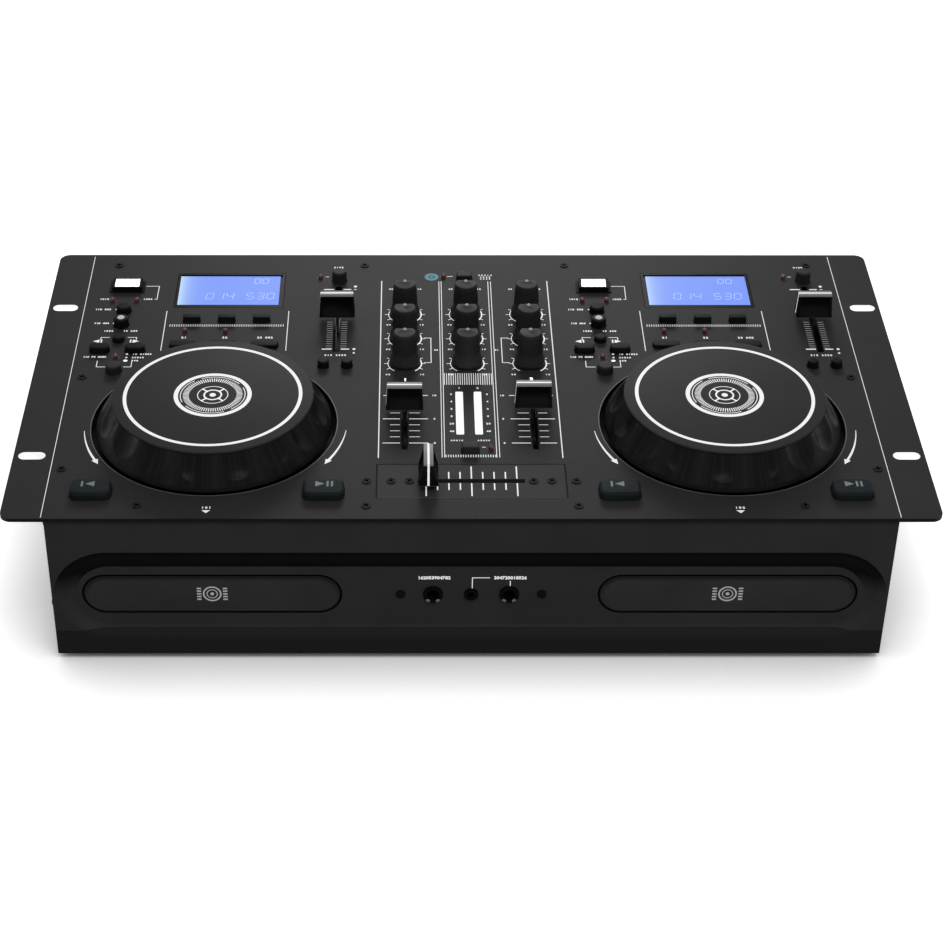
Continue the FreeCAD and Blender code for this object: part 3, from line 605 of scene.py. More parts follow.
# plain numbers centred on x, y; space widens the gaps
def number(ink, text, x, y, height, space=1.0):
    shape = ink["shape"]
    scale = height / numerals["height"]
    step = numerals["advance"] * scale * space
    for n, character in enumerate(text):
        if character == " ":
            continue
        glyph = numerals[character]
        centre = Vector((x + (n - (len(text) - 1) / 2) * step, y))
        flat = [centre + point * scale for point in glyph["points"]]
        low = [shape.verts.new((point.x, point.y, 0)) for point in flat]
        high = [shape.verts.new((point.x, point.y, inkHeight)) for point in flat]
        for face in glyph["faces"]:
            shape.faces.new([low[k] for k in reversed(face)])
            shape.faces.new([high[k] for k in face])
        for first, second in glyph["edges"]:
            shape.faces.new((low[first], low[second], high[second], high[first]))


# a matrix that lays millimetres in the frame, with their origin at x, y, z
def laid(x, y, z):
    return Matrix.Scale(mm, 4) @ Matrix.Translation((x, y, z))


def onPanel(rise=0.0):
    return laid(0, 0, panelTop + rise)


def onFront(face):
    return laid(0, face, 0) @ Matrix.Rotation(math.pi / 2, 4, "X")


# the print becomes one closed mesh on the face that matrix lays it on
def pressInk(name, ink, material, body="chassis", matrix=None):
    shape = ink["shape"]
    for count, start, step, wide, long in ink["rows"]:
        values = {"Count": count, "Start": (*start, inkHeight / 2), "Step": (*step, 0.0),
                  "Tick": (wide, long, inkHeight)}
        mesh = grow(tickRow, "row", material, values)
        shape.from_mesh(mesh)
        bpy.data.meshes.remove(mesh)
    settle(name, closeMesh(shape, name, matrix or onPanel()), material, body)


# ---- stage ----
cameraSetup = {
    "place": (-31.344, -1079.046, 798.639),
    "pitch": 36.396,   # degrees down
    "yaw": 0.195,
    "roll": -0.119,
    "focal": 2315.364,     # in pixels, at the width below
    "middle": (416.556, 506.015),
    "width": 943,
}


def makeCamera(setup):
    data = bpy.data.cameras.new("camera")
    camera = bpy.data.objects.new("camera", data)
    scene.collection.objects.link(camera)
    width = setup["width"]
    data.sensor_width = 36
    data.lens = setup["focal"] / width * 36
    data.shift_x = 0.5 - setup["middle"][0] / width
    data.shift_y = setup["middle"][1] / width - 0.5
    data.clip_start = 0.05
    data.clip_end = 50
    yaw, pitch, roll = (math.radians(setup[key]) for key in ("yaw", "pitch", "roll"))
    turn = Matrix.Rotation(-yaw, 4, "Z") @ Matrix.Rotation(math.pi / 2 - pitch, 4, "X")
    turn = turn @ Matrix.Rotation(-roll, 4, "Z")
    camera.matrix_world = Matrix.Translation(Vector(setup["place"]) * mm) @ turn
    scene.camera = camera


stageSetup = {"size": 9.0, "drop": 0.0004, "floor": 0.9, "bounce": 0.06, "lift": 1.1, "sky": 0.12,
              "shade": 0.07, "fall": 1.75}
white = (1.0, 1.0, 1.0)


# 1 for what the camera sees, straight, in gloss or through glass
def seenRays(tree):
    path = tree.nodes.new("ShaderNodeLightPath")
    straight = larger(path.outputs["Is Camera Ray"], path.outputs["Is Glossy Ray"])
    return larger(straight, path.outputs["Is Transmission Ray"])


def makeStage(setup):
    bpy.ops.mesh.primitive_plane_add(size=setup["size"], location=(0, 0, -setup["drop"]))
    floor = bpy.context.object
    floor.name = "floor"
    material = bpy.data.materials.new("floor")
    material.use_nodes = True
    tree = material.node_tree
    seen = seenRays(tree)
    dim, pale = ((setup[key],) * 3 for key in ("bounce", "floor"))
    # painted shade: the floor's camera glow is darkened by ambient occlusion where it meets the object
    clear = add(tree, "ShaderNodeAmbientOcclusion", Distance=setup["shade"])
    clear.samples = 8
    lift = times(calc("POWER", clear.outputs["AO"], setup["fall"]), setup["lift"])
    settings = {"Roughness": 0.9, "Specular IOR Level": 0.1, "Base Color": mixColours(tree, seen, dim, pale),
                "Emission Color": white, "Emission Strength": times(seen, lift)}
    for label, value in settings.items():
        feed(value, shaderInputs(material)[label])
    floor.data.materials.append(material)
    floor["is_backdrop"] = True
    world = bpy.data.worlds.new("studio")
    scene.world = world
    world.use_nodes = True
    tree = world.node_tree
    tree.nodes.clear()
    dim = add(tree, "ShaderNodeBackground", Color=white, Strength=setup["sky"])
    pale = add(tree, "ShaderNodeBackground", Color=white)
    mix = tree.nodes.new("ShaderNodeMixShader")
    for source, target in zip((seenRays(tree), dim.outputs[0], pale.outputs[0]), mix.inputs):
        link(source, target)
    add(tree, "ShaderNodeOutputWorld", Surface=mix.outputs[0])


def softLight(name, place, target, size, power, spread=180):
    data = bpy.data.lights.new(name, "AREA")
    data.shape = "RECTANGLE"
    data.size, data.size_y = size
    data.energy = power
    data.spread = math.radians(spread)
    lamp = bpy.data.objects.new(name, data)
    scene.collection.objects.link(lamp)
    lamp.location = place
    lamp.visible_camera = False
    lamp.rotation_euler = (Vector(target) - Vector(place)).to_track_quat("-Z", "Y").to_euler()


makeCamera(cameraSetup)
makeStage(stageSetup)
softLight("keyLight", (0.02, 0.95, 0.55), (0, -0.02, 0.09), (0.5, 0.25), 0.47, 66)
softLight("frontLight", (0.1, -1.3, 0.10), (0, -0.13, 0.05), (1.2, 0.3), 1.4)
softLight("fillLight", (0.15, -0.75, 1.5), (0, -0.1, 0.05), (0.9, 0.4), 4.8)
scene.view_settings.view_transform = "Standard"
print("stage and camera ready")

# ---- finishes ----
panelPaint = finish("panelPaint", 0.048, 0.5, tint=0.06, shine=0.05)
platePaint = finish("platePaint", 0.062, 0.5, tint=0.06, shine=0.05)
casePaint = finish("casePaint", 0.070, 0.5, tint=0.08, shine=0.02)
keyPlastic = finish("keyPlastic", 0.013, 0.42, 0.2, 0.006, shine=0.03)
lensKey = finish("lensKey", 0.009, 0.42, 0.2, 0.006, shine=0.04)
keyTop = finish("keyTop", 0.034, 0.5, 0.2, 0.006, shine=0.07)
padPlastic = finish("padPlastic", (0.020, 0.026, 0.029), 0.5, 0.3, 0.008, shine=0.04)
knobRubber = finish("knobRubber", 0.045, 0.5, 0.25, 0.01, shine=0.07)
capPlastic = finish("capPlastic", 0.005, 0.33, 0.25, 0.006, shine=0.05)
rimPlastic = finish("rimPlastic", 0.004, 0.3, 0.5, 0.006, shine=0.07)
platterPaint = finish("platterPaint", 0.058, 0.45, tint=0.05, shine=0.03)
trayPlastic = finish("trayPlastic", 0.05, 0.36, 0.5, 0.006, shine=0.07)
innerPlastic = finish("innerPlastic", 0.02, 0.55)
socketPlastic = finish("socketPlastic", 0.010, 0.4, 0.3, shine=0.02)
blackSteel = finish("blackSteel", 0.040, 0.45, 0.15, 0.01, shine=0.03)
plainSteel = finish("plainSteel", 0.55, 0.32, 0.2, 0.006, metallic=1.0)
footRubber = finish("footRubber", 0.012, 0.8, 0.4, 0.03)
boardMask = finish("boardMask", (0.012, 0.07, 0.03), 0.4)
supplyBoard = finish("supplyBoard", (0.06, 0.06, 0.035), 0.5)
bezelPlastic = finish("bezelPlastic", 0.002, 0.3, 0.3, 0.004, shine=0.03)


# light is a painted glow: how far the ink shines by itself, with no lamp
def inkFinish(name, colour, light=0.0, **more):
    material = finish(name, colour, 0.6, 0.2, 0.006, **more)
    if light:
        glow(material, 1.0, white, light)
    return material


# painted light: the white, line and soft inks glow a little, so that they read brighter
whiteInk = inkFinish("whiteInk", 0.78, 0.55, tint=0.04)
lineInk = inkFinish("lineInk", 0.85, 0.6)
softInk = inkFinish("softInk", 0.36, 0.2)
edgeHighlightInk = inkFinish("edgeHighlightInk", 0.14)
redGlowInk = inkFinish("redGlowInk", (0.05, 0.012, 0.013))
padInk = inkFinish("padInk", (0.30, 0.35, 0.38))
cyanInk = inkFinish("cyanInk", (0.10, 0.40, 0.50))
blackInk = inkFinish("blackInk", 0.002, shine=0.01)

dress(panelPaint, "top_panel")
dress(platePaint, "crossfader_plate")
dress(casePaint, "case", "front_panel")
dress(footRubber, "rubber_feet")
dress(blackSteel, "screws", "jog_bearings")
dress(boardMask, "circuit_boards")
dress(plainSteel, "potentiometers")
dress(innerPlastic, "disc_drives")
dress(supplyBoard, "power_supply")
dress(trayPlastic, "left_tray", "right_tray")
dress(keyPlastic, "power_switch")
dress(socketPlastic, "sockets")
dress(bezelPlastic, "display_modules")

# red lights over the boards
lights = {
    "deck": ((-67.9, 79.9), (-53.8, 80.1), (-60.0, 19.1), (-23.1, 46.5), (0.0, 46.5), (52.6, 106.0)),
    "mixer": ((-12.3, 107.0), (11.0, -70.2)), "radius": 1.55, "red": (0.20, 0.040, 0.045),
}
allLights = [(x + dx, y) for unused, x in decks for dx, y in lights["deck"]]
allLights += [(mixerX + dx, y) for dx, y in lights["mixer"]]
lightMask = anyOf([insideRound(boardMask.node_tree, x, y, lights["radius"]) for x, y in allLights])
recolour(boardMask, lightMask, lights["red"])
roughen(boardMask, lightMask, 0.15)

# painted shade: the walls of the panel's openings and its front edge are painted dark
panelAreas = {"walls": ((-219.0, 219.0), (-132.0, 132.0), (panelTop - 1.9, panelTop - 0.12)),
              "edge": (-134.0, -132.6), "slotX": (-231.5, 231.5), "slotY": (-77.0, 72.2),
              "slotHalf": (7.4, 3.5)}
tree = panelPaint.node_tree
recolour(panelPaint, insideBox(tree, *panelAreas["walls"]), 0.003)
recolour(panelPaint, insideBox(tree, None, panelAreas["edge"], None), 0.006)
# painted light: the walls of the rack slots are painted pale and glow, as light from below
wide, deep = panelAreas["slotHalf"]
for x in panelAreas["slotX"]:
    for y in panelAreas["slotY"]:
        slot = insideBox(tree, (x - wide, x + wide), (y - deep, y + deep), (panelTop - 1.95, panelTop - 0.1))
        lightUp(panelPaint, slot, 0.9, 0.8)

# painted shade and highlight: the outline of the crossfader plate is painted dark, and its near edge pale
plateAreas = {"ends": 48.8, "far": 14.4, "near": -14.7}
x, y, z = axisValues(platePaint.node_tree)
ends = above(calc("ABSOLUTE", minus(x, mixerX * mm)), plateAreas["ends"])
recolour(platePaint, larger(ends, above(y, plateY + plateAreas["far"])), 0.006)
recolour(platePaint, below(y, plateY + plateAreas["near"]), 0.13)
# painted shade: the walls of the screw heads are painted dark, and the whole heads beside the front jacks are
# dark
x, y, z = axisValues(blackSteel.node_tree)
heads = larger(calc("COMPARE", z, panelTop * mm, 0.42 * mm), below(y, recessFace + 0.2))
recolour(blackSteel, heads, 0.003)

# painted shade: the gap round the doors is painted dark, and so is the hollow's upper shoulder, in its own
# shade
hollow = {"gap": (69.2, 13.9), "half": 188.0, "shoulder": (24.0, 5.9), "fade": (2.0, 14.0), "low": 22.0}
tree = casePaint.node_tree
wide, high = hollow["gap"]
for x in (-trayX, trayX):
    gap = insideBox(tree, (x - wide, x + wide), (-128.45, -126.8), (rowZ - high, rowZ + high))
    recolour(casePaint, gap, 0.002)
away, up = pillValues(tree, 0.0, hollow["half"])
middle, half = hollow["shoulder"]
band = times(calc("COMPARE", away, middle * mm, half * mm),
             insideBox(tree, None, (frontFace - 1.0, recessFace + 0.3), None))
recolour(casePaint, times(band, ramp(up, *hollow["fade"])), 0.002)
# painted shade: the front is painted darker below the doors
lowest = insideBox(tree, (-240.0, 240.0), (frontFace - 1.0, recessFace + 0.1), (0.0, rowZ - hollow["low"]))
recolour(casePaint, lowest, 0.036)
# painted shade also on the doors' edges and, more widely, their tops
door = {"half": 55.3, "reach": 72.0, "brow": (8.6, 10.6), "fade": (-4.0, 8.0), "rim": (11.0, 11.4)}
tree = trayPlastic.node_tree
recolour(trayPlastic, insideBox(tree, None, (recessFace + 0.12, recessFace + 6.0), None), 0.002)
for x in (-trayX, trayX):
    away, up = pillValues(tree, x, door["half"])
    ends = (x - door["reach"], x + door["reach"])
    near = insideBox(tree, ends, (recessFace - 0.1, recessFace + 0.3), None)
    brow = larger(times(ramp(away, *door["brow"]), ramp(up, *door["fade"])), ramp(away, *door["rim"]))
    recolour(trayPlastic, times(brow, near), 0.002)

# display glass, lit blue and brighter at its left edge, and the meter's light bars
display = {"halfWidth": 30.1, "trim": 1.3, "low": 75.2, "high": 109.2, "sunk": 0.6, "fade": 4.5,
           "blue": (0.205, 0.325, 0.93), "edge": (0.55, 0.74, 0.95)}
meter = {"bars": (-4.45, 5.65), "halfWidth": 2.1, "low": -57.2, "high": -15.6}
tree = bezelPlastic.node_tree
x, y, z = axisValues(tree)
sunk = below(z, panelTop - display["sunk"])
half = display["halfWidth"]
trim = display["trim"]
for side, centre in decks:
    ends = (centre - half, centre + half - trim) if side == "left" else (centre - half + trim, centre + half)
    window = times(insideBox(tree, ends, (display["low"], display["high"]), None), sunk)
    across = calc("MULTIPLY_ADD", x, 1 / mm, half - centre)
    fade = calc("EXPONENT", times(across, -1 / display["fade"]))
    glow(bezelPlastic, window, mixColours(tree, fade, display["blue"], display["edge"]), 1.0)
half = meter["halfWidth"]
for centre in meter["bars"]:
    bar = insideBox(tree, (centre - half, centre + half), (meter["low"], meter["high"]), None)
    recolour(bezelPlastic, bar, (0.85, 0.85, 0.85))
    glow(bezelPlastic, bar, (0.75, 0.75, 0.75), 1.0)

# every fader cap has a light grey ridge along its top, partly its own pale tone and partly a painted
# highlight, and a grey foot, a painted highlight on its lower lip; these are heights over the panel
painted = {"ridge": 16.2, "foot": 4.22, "tuck": 1.8, "lens": 5.03}
height = axisValues(capPlastic.node_tree)[2]
recolour(capPlastic, above(height, panelTop + painted["ridge"]), (0.46, 0.46, 0.47))
recolour(capPlastic, below(height, panelTop + painted["foot"]), 0.09)

# painted sheen: the ridges between the hollows of a rim are painted a little lighter; they are found by their
# angle about the axle, as (waves, turn, sharpness, level); painted shade: the rim is painted dark where it
# draws in
ridges = ((16.0, 0.3, 6.0, 0.016), (48.0, 1.1, 8.0, 0.010), (74.0, 0.4, 10.0, 0.012))
x, y, z = axisValues(rimPlastic.node_tree)
across = times(minus(calc("ABSOLUTE", x), deckX * mm), calc("SIGN", x))
angle = calc("ARCTAN2", minus(y, jogY * mm), across)
for waves, turn, power, level in ridges:
    wave = calc("SINE", calc("MULTIPLY_ADD", angle, waves, turn))
    wave = calc("POWER", calc("MULTIPLY_ADD", wave, 0.5, 0.5), power)
    recolour(rimPlastic, wave, level)
recolour(rimPlastic, below(z, panelTop + painted["tuck"]), 0.001)

# painted shade: the parts of the pots seen through the fader slots are painted black
recolour(plainSteel, above(axisValues(plainSteel.node_tree)[2], 70), 0.006)

# knob tops are grey, with a black insert towards the pointer dot
knob = {"columns": {"left": -35.0, "centre": 0.0, "right": 35.0}, "rows": (65.8, 39.7, 13.7),
        "ribs": 30, "base": 6.97, "top": 6.26, "low": 8.4, "high": 18.6, "ribWidth": 0.5, "ribDepth": 0.5,
        "flat": 3.2, "height": 20.5, "insert": (3.4, 5.4), "dot": (2.4, 1.13)}
tree = knobRubber.node_tree
top = above(axisValues(tree)[2], panelTop + knob["height"] - 0.12)
insert, pointer = (
    anyOf([insideRound(tree, mixerX + column, place + back, radius)
           for column in knob["columns"].values() for place in knob["rows"]])
    for back, radius in (knob["insert"], knob["dot"]))
recolour(knobRubber, top, 0.040)
recolour(knobRubber, times(top, minus(1, insert)), 0.062)
recolour(knobRubber, times(top, pointer), 0.85)

# connectors: the white inside of the USB mouths with a painted glow, plated barrels and pins, painted glints
# on the jacks
connector = {
    "mouth": ((-67.65, -53.35), (90.85, 99.55), (80.0, panelTop + 3.15)),
    "rcaX": (-165.0, -137.0, -109.0), "rcaZ": ((38.0, (0.30, 0.012, 0.012)), (54.0, (0.55, 0.55, 0.55))),
    "rcaFace": rearFace + 0.85, "flange": 5.0, "barrel": 4.3, "pins": (180.7, 189.3), "pinZ": 46.0,
    "pin": 1.3, "plating": 0.62, "jacks": (-19.4, 20.6), "glint": (2.7, -3.9, 1.15),
}
tree = socketPlastic.node_tree
x, y, z = axisValues(tree)
# painted light: the insides of the USB mouths are painted white and glow
for unused, centre in decks:
    ends, depth, height = connector["mouth"]
    mouth = insideBox(tree, tuple(centre + end for end in ends), depth, height)
    lightUp(socketPlastic, mouth, 0.9, 0.8)
behind = above(y, rearFace - 1.0)
beyond = above(y, connector["rcaFace"])
for place in connector["rcaX"]:
    for level, colour in connector["rcaZ"]:
        flange = insideRound(tree, place, level, connector["flange"], "y")
        recolour(socketPlastic, times(flange, behind), colour)
        barrel = insideRound(tree, place, level, connector["barrel"], "y")
        plate(socketPlastic, times(barrel, beyond), connector["plating"])
inside = above(y, 100)
for place in connector["pins"]:
    pin = insideRound(tree, place, connector["pinZ"], connector["pin"], "y")
    plate(socketPlastic, times(pin, inside), connector["plating"])
ahead = below(y, recessFace + 0.05)
recolour(socketPlastic, ahead, 0.0025)
# painted highlights: pale glints low on each front jack's nut
across, rise, radius = connector["glint"]
for place in connector["jacks"]:
    for side in (-across, across):
        glint = insideRound(tree, place + side, rowZ + rise, radius, "y")
        recolour(socketPlastic, times(glint, ahead), 0.42)

# the eject key carries a pale lens, which glows as a painted highlight
lens = above(axisValues(lensKey.node_tree)[2], panelTop + painted["lens"])
lightUp(lensKey, lens, 0.7, 0.35)
print("finishes ready")


# ---- smooth bodies ----
deckKeys = {"select": keyPlastic, "eject": lensKey, "track": keyPlastic, "previous": keyPlastic,
            "next": keyPlastic, "jog_mode": keyTop, "pitch": keyTop, "bend_minus": keyPlastic,
            "bend_plus": keyPlastic, "display_keys": keyPlastic, "loop_keys": keyPlastic,
            "cue": padPlastic, "play": padPlastic}
for side, unused in decks:
    for key, material in deckKeys.items():
        smoothCopy(f"{side}_{key}", material)
    for fader in ("pitch_fader", "channel_fader"):
        smoothCopy(f"{side}_{fader}", capPlastic, 40, 0.25)
for key in ("source_key", "delay_key"):
    smoothCopy(key, keyTop)
smoothCopy("crossfader", capPlastic, 40, 0.25)
knobNames = [f"{column}_knob_{n}" for column in ("left", "centre", "right") for n in (1, 2, 3)]
for name in knobNames:
    smoothCopy(name, knobRubber, 30, 0.2)
print("smooth bodies ready")


# ---- jog wheels ----
jog = {
    "rim": [(54.2, 17.15), (63.8, 0.2)],
    "below": [(63.2, -0.4), (61.8, -1.0), (59.4, -1.0), (59.4, 1.8), (49.8, 12.75), (9.0, 12.75),
              (9.0, -8.0), (4.05, -8.0), (4.05, 15.15), (0, 15.15)],
    "rimRows": 30, "segments": 320,
    "hollows": 16, "hollowRadius": 19.0, "hollowDepth": 2.4, "hollowEnd": 5.0, "hollowTurn": 5.0,
    "plate": [(0, 17.15), (53.5, 17.15), (53.9, 17.4), (53.9, 18.0), (53.6, 18.3), (53.3, 18.35), (0, 18.35)],
    "outerRing": (47.0, 1.9), "innerRing": (19.7, 2.3), "top": 18.35,
    "arcs": (17.3, 76, 0.45), "badge": (8.1, 4.6), "ticks": (76, 14.4, 3.2, 0.52),
}


def jogWheel(side, centre):
    top, foot = jog["rim"]
    steps = jog["rimRows"]
    slope = [(top[0] + (foot[0] - top[0]) * n / steps, top[1] + (foot[1] - top[1]) * n / steps)
             for n in range(steps + 1)]
    shape = turned([(0, top[1])] + slope + jog["below"], jog["segments"], centre, jogY, panelTop)
    mark = shape.verts.layers.float.new("onRim")
    shape.verts.ensure_lookup_table()
    for n in range(1, 1 + (steps + 1) * jog["segments"]):
        shape.verts[n][mark] = 1.0
    base = closeMesh(shape, "rim")
    run = Vector((top[0] - foot[0], 0, top[1] - foot[1])).normalized()
    radius, depth = jog["hollowRadius"], jog["hollowDepth"]
    values = {
        "Hollows": jog["hollows"], "Radius": radius * mm, "Depth": depth * mm,
        "Turn": math.radians(jog["hollowTurn"]),
        "Start": (jog["hollowEnd"] + math.sqrt(radius ** 2 - (radius - depth) ** 2)) * mm,
        "Centre": Vector((centre, jogY, panelTop)) * mm, "Foot": Vector((foot[0], 0, foot[1])) * mm,
        "Slope": run,
    }
    body = f"{side}_jog_wheel"
    mesh = grow(fingerHollows, body + "_rim", rimPlastic, values, base)
    mesh.attributes.remove(mesh.attributes["onRim"])
    settle(body + "_rim", mesh, None, body, (body,), 38)
    platter = closeMesh(turned(jog["plate"], 180, centre, jogY, panelTop), body + "_plate")
    settle(body + "_plate", platter, platterPaint, body, (), 40)


def jogPrint(side, centre):
    body = f"{side}_jog_wheel"
    ink = newInk()
    ring(ink, 0, 0, *jog["outerRing"], 160)
    ring(ink, 0, 0, *jog["innerRing"], 120)
    radius, sweep, width = jog["arcs"]
    for start in (-52, 38, 128, 218):
        stroke(ink, arcPoints(0, 0, radius, start, start + sweep), width)
    outer, inner = jog["badge"]
    ring(ink, 0, 0, outer, 0.45, 60)
    ring(ink, 0, 0, inner, 0.9, 48)
    dot(ink, 0, 0, 1.7)
    for n in range(4):
        angle = math.radians(45 + 90 * n)
        stroke(ink, [(r * math.cos(angle), r * math.sin(angle)) for r in (inner, outer)], 0.9)
    level = panelTop + jog["top"]
    pressInk(body + "_print", ink, whiteInk, body, laid(centre, jogY, level))
    count, radius, long, wide = jog["ticks"]
    values = {"Count": count, "Radius": radius * mm, "Tick": Vector((long, wide, inkHeight)) * mm,
              "Centre": Vector((centre, jogY, level + inkHeight / 2)) * mm}
    settle(body + "_ticks", grow(tickRing, body + "_ticks", whiteInk, values), None, body)


for side, centre in decks:
    jogWheel(side, centre)
    jogPrint(side, centre)
print("jog wheels ready")


# ---- knobs ----
def knobRibs(name, x, y):
    tall = knob["high"] - knob["low"]
    level = panelTop + (knob["low"] + knob["high"]) / 2
    values = {"Count": knob["ribs"], "Radius": (knob["base"] + knob["top"]) / 2 * mm,
              "Lean": math.atan2(knob["base"] - knob["top"], tall), "Back": knob["flat"] * mm,
              "Tick": Vector((knob["ribDepth"], knob["ribWidth"], tall)) * mm,
              "Centre": Vector((x, y, level)) * mm}
    settle(name + "_ribs", grow(tickRing, name + "_ribs", knobRubber, values), None, name)


for name in knobNames:
    column, unused, place = name.split("_")
    knobRibs(name, mixerX + knob["columns"][column], knob["rows"][int(place) - 1])
print("knobs ready")


# ---- faders ----
fader = {"length": 18.8, "baseLength": 20.2, "top": 17.3, "line": 1.1, "foot": 4.2}


def faderLine(name, alongX):
    low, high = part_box(name)
    x, y = (low.x + high.x) / 2 / mm, (low.y + high.y) / 2 / mm
    half = fader["length"] / 2
    ink = newInk()
    wide = fader["line"] / 2
    patch(ink, -half, half, -wide, wide)
    turn = Matrix.Rotation(math.pi / 2 if alongX else 0, 4, "Z")
    place = laid(x, y, panelTop + fader["top"]) @ turn
    pressInk(name + "_line", ink, lineInk, name, place)
    # the line runs on down the sloping end
    tall = fader["top"] - fader["foot"]
    reach = fader["baseLength"] / 2 - half
    ink = newInk()
    patch(ink, -wide, wide, 0, math.hypot(tall, reach) - 0.05)
    cheek = Matrix.Translation((-half - reach, 0, panelTop + fader["foot"]))
    cheek = cheek @ Matrix.Rotation(-math.pi / 2, 4, "Z")
    cheek = cheek @ Matrix.Rotation(math.pi / 2 - math.atan2(reach, tall), 4, "X")
    place = laid(x, y, 0) @ turn @ cheek
    pressInk(name + "_cheek_line", ink, lineInk, name, place)


for side, unused in decks:
    faderLine(f"{side}_pitch_fader", False)
    faderLine(f"{side}_channel_fader", False)
faderLine("crossfader", True)
print("faders ready")


# ---- panel print ----
# in a plan, numbers are (text, x, y, height, spacing), dots are (x, y, radius), patches are
# (left, right, low, high), wedges are (x, y, half width, length), and rows are
# (count, start, step, width, length); a deck's places are from its middle
deckPlan = {
    "numbers": (
        ("1010", -72.9, 81.8, 1.7, 1.0), ("1020", -47.6, 81.8, 1.7, 1.0), ("110 303", -72.4, 70.4, 1.8, 0.9),
        ("110 404", -71.8, 55.2, 1.8, 0.84), ("1052", -66.9, 46.9, 1.7, 1.04),
        ("10 630", -54.4, 46.9, 1.7, 1.0), ("110 70 8080", -71.9, 19.5, 1.7, 0.86),
        ("21", -23.3, 39.9, 1.9, 1.1), ("22", 0.0, 39.9, 1.9, 1.1), ("23 002", 22.9, 39.9, 1.9, 1.0),
        ("3100", 63.0, 118.0, 1.7, 1.1), ("313 2330", 63.4, 21.4, 1.7, 1.15),
        ("10 81803", -45.4, 22.4, 1.6, 1.05), ("20820", -47.5, 18.9, 1.6, 1.1),
        ("308", -49.0, 15.65, 1.6, 1.1),
    ),
    "dots": ((-54.0, 22.4, 0.7), (-54.0, 18.9, 0.7), (-54.6, 15.65, 0.95), (-53.9, 15.65, 0.95),
             (73.4, 96.2, 1.0), (73.8, 27.8, 0.9)),
    "lines": (
        ((-35.3, 68.7), (-35.3, 26.0)), ((35.3, 68.7), (35.3, 26.0)),
        ((-49.95, 96.4), (-42.1, 96.4), (-42.3, 81.7), (-43.8, 81.7)),
        ((-65.5, 40.0), (-70.4, 40.0), (-70.4, 37.2)), ((-55.2, 40.0), (-50.2, 40.0), (-50.2, 37.2)),
        ((-69.9, 15.5), (-69.9, 9.2), (-64.6, 9.2)), ((-54.8, 9.2), (-50.5, 9.2), (-50.5, 15.0)),
    ),
    "patches": (
        (55.5, 57.6, 107.0, 107.4), (55.0, 61.0, 92.35, 93.25), (66.4, 70.9, 92.35, 93.25),
        (55.6, 61.2, 27.25, 28.15), (66.4, 71.1, 27.25, 28.15), (72.6, 74.2, 92.6, 93.1),
        (73.0, 74.6, 23.5, 23.9), (73.6, 74.0, 22.9, 24.6), (-70.25, -69.45, 34.3, 37.7),
        (-53.65, -52.85, 34.3, 37.7),
    ),
    "wedges": ((-71.0, 36.0, 1.7, -3.6), (-52.1, 36.0, 1.7, 3.6), (-65.2, 70.4, 0.8, 1.0),
               (-65.2, 55.2, 0.8, 1.0)),
    "rows": ((50, (-32.3, 52.85), (65.0 / 49, 0), 0.36, 2.4),), "thin": 0.42,
    "arrow": {"shift": 0.9, "radius": 70.6, "steps": 14, "sweeps": ((186, 209), (-5.5, -29)),
              "width": (0.3, 1.4), "half": 1.8, "long": 4.4},
    "pointer": ((-1.2, -125.5), (3.2, -125.5), (1.0, -127.9)), "name": (1.0, -123.2, 1.9, 1.2),
}


def ccw(points):
    area = sum(a[0] * b[1] - b[0] * a[1] for a, b in zip(points, points[1:] + points[:1]))
    return points if area > 0 else points[::-1]


# a triangle on an upright foot at x, which points along x
def wedge(ink, x, y, half, length):
    slab(ink, ccw([(x, y - half), (x, y + half), (x + length, y)]))


# a curved stroke whose width follows a list
def swell(ink, points, widths):
    left, right = [], []
    for n, point in enumerate(points):
        before = Vector(points[max(0, n - 1)])
        after = Vector(points[min(len(points) - 1, n + 1)])
        run = (after - before).normalized()
        side = Vector((-run.y, run.x)) * widths[n] / 2
        left.append(tuple(Vector(point) + side))
        right.append(tuple(Vector(point) - side))
    slab(ink, ccw(left + right[::-1]))


# turning arrows beside the wheel
def turnArrows(ink, x):
    arrow = deckPlan["arrow"]
    steps = arrow["steps"]
    narrow, wide = arrow["width"]
    for start, end in arrow["sweeps"]:
        points = arcPoints(x + arrow["shift"], jogY, arrow["radius"], start, end, steps)
        swell(ink, points, [narrow + (wide - narrow) * n / steps for n in range(steps + 1)])
        tip, back = Vector(points[-1]), Vector(points[-2])
        run = (tip - back).normalized()
        across = Vector((-run.y, run.x)) * arrow["half"]
        slab(ink, ccw([tuple(tip - across), tuple(tip + across), tuple(tip + run * arrow["long"])]))


# draws what a plan holds, moved along by x
def drawPlan(ink, plan, x=0.0):
    for text, dx, *place in plan.get("numbers", ()):
        number(ink, text, x + dx, *place)
    for dx, y, radius in plan.get("dots", ()):
        dot(ink, x + dx, y, radius, 12)
    for points in plan.get("lines", ()):
        stroke(ink, [(x + dx, y) for dx, y in points], plan["thin"])
    for left, right, low, high in plan.get("patches", ()):
        patch(ink, x + left, x + right, low, high)
    for dx, *place in plan.get("wedges", ()):
        wedge(ink, x + dx, *place)
    for count, (dx, y), *place in plan.get("rows", ()):
        row(ink, count, (x + dx, y), *place)


def deckPrint(ink, x, name):
    drawPlan(ink, deckPlan, x)
    dx, *place = deckPlan["name"]
    number(ink, name, x + dx, *place)
    turnArrows(ink, x)
    slab(ink, ccw([(x + dx, y) for dx, y in deckPlan["pointer"]]))


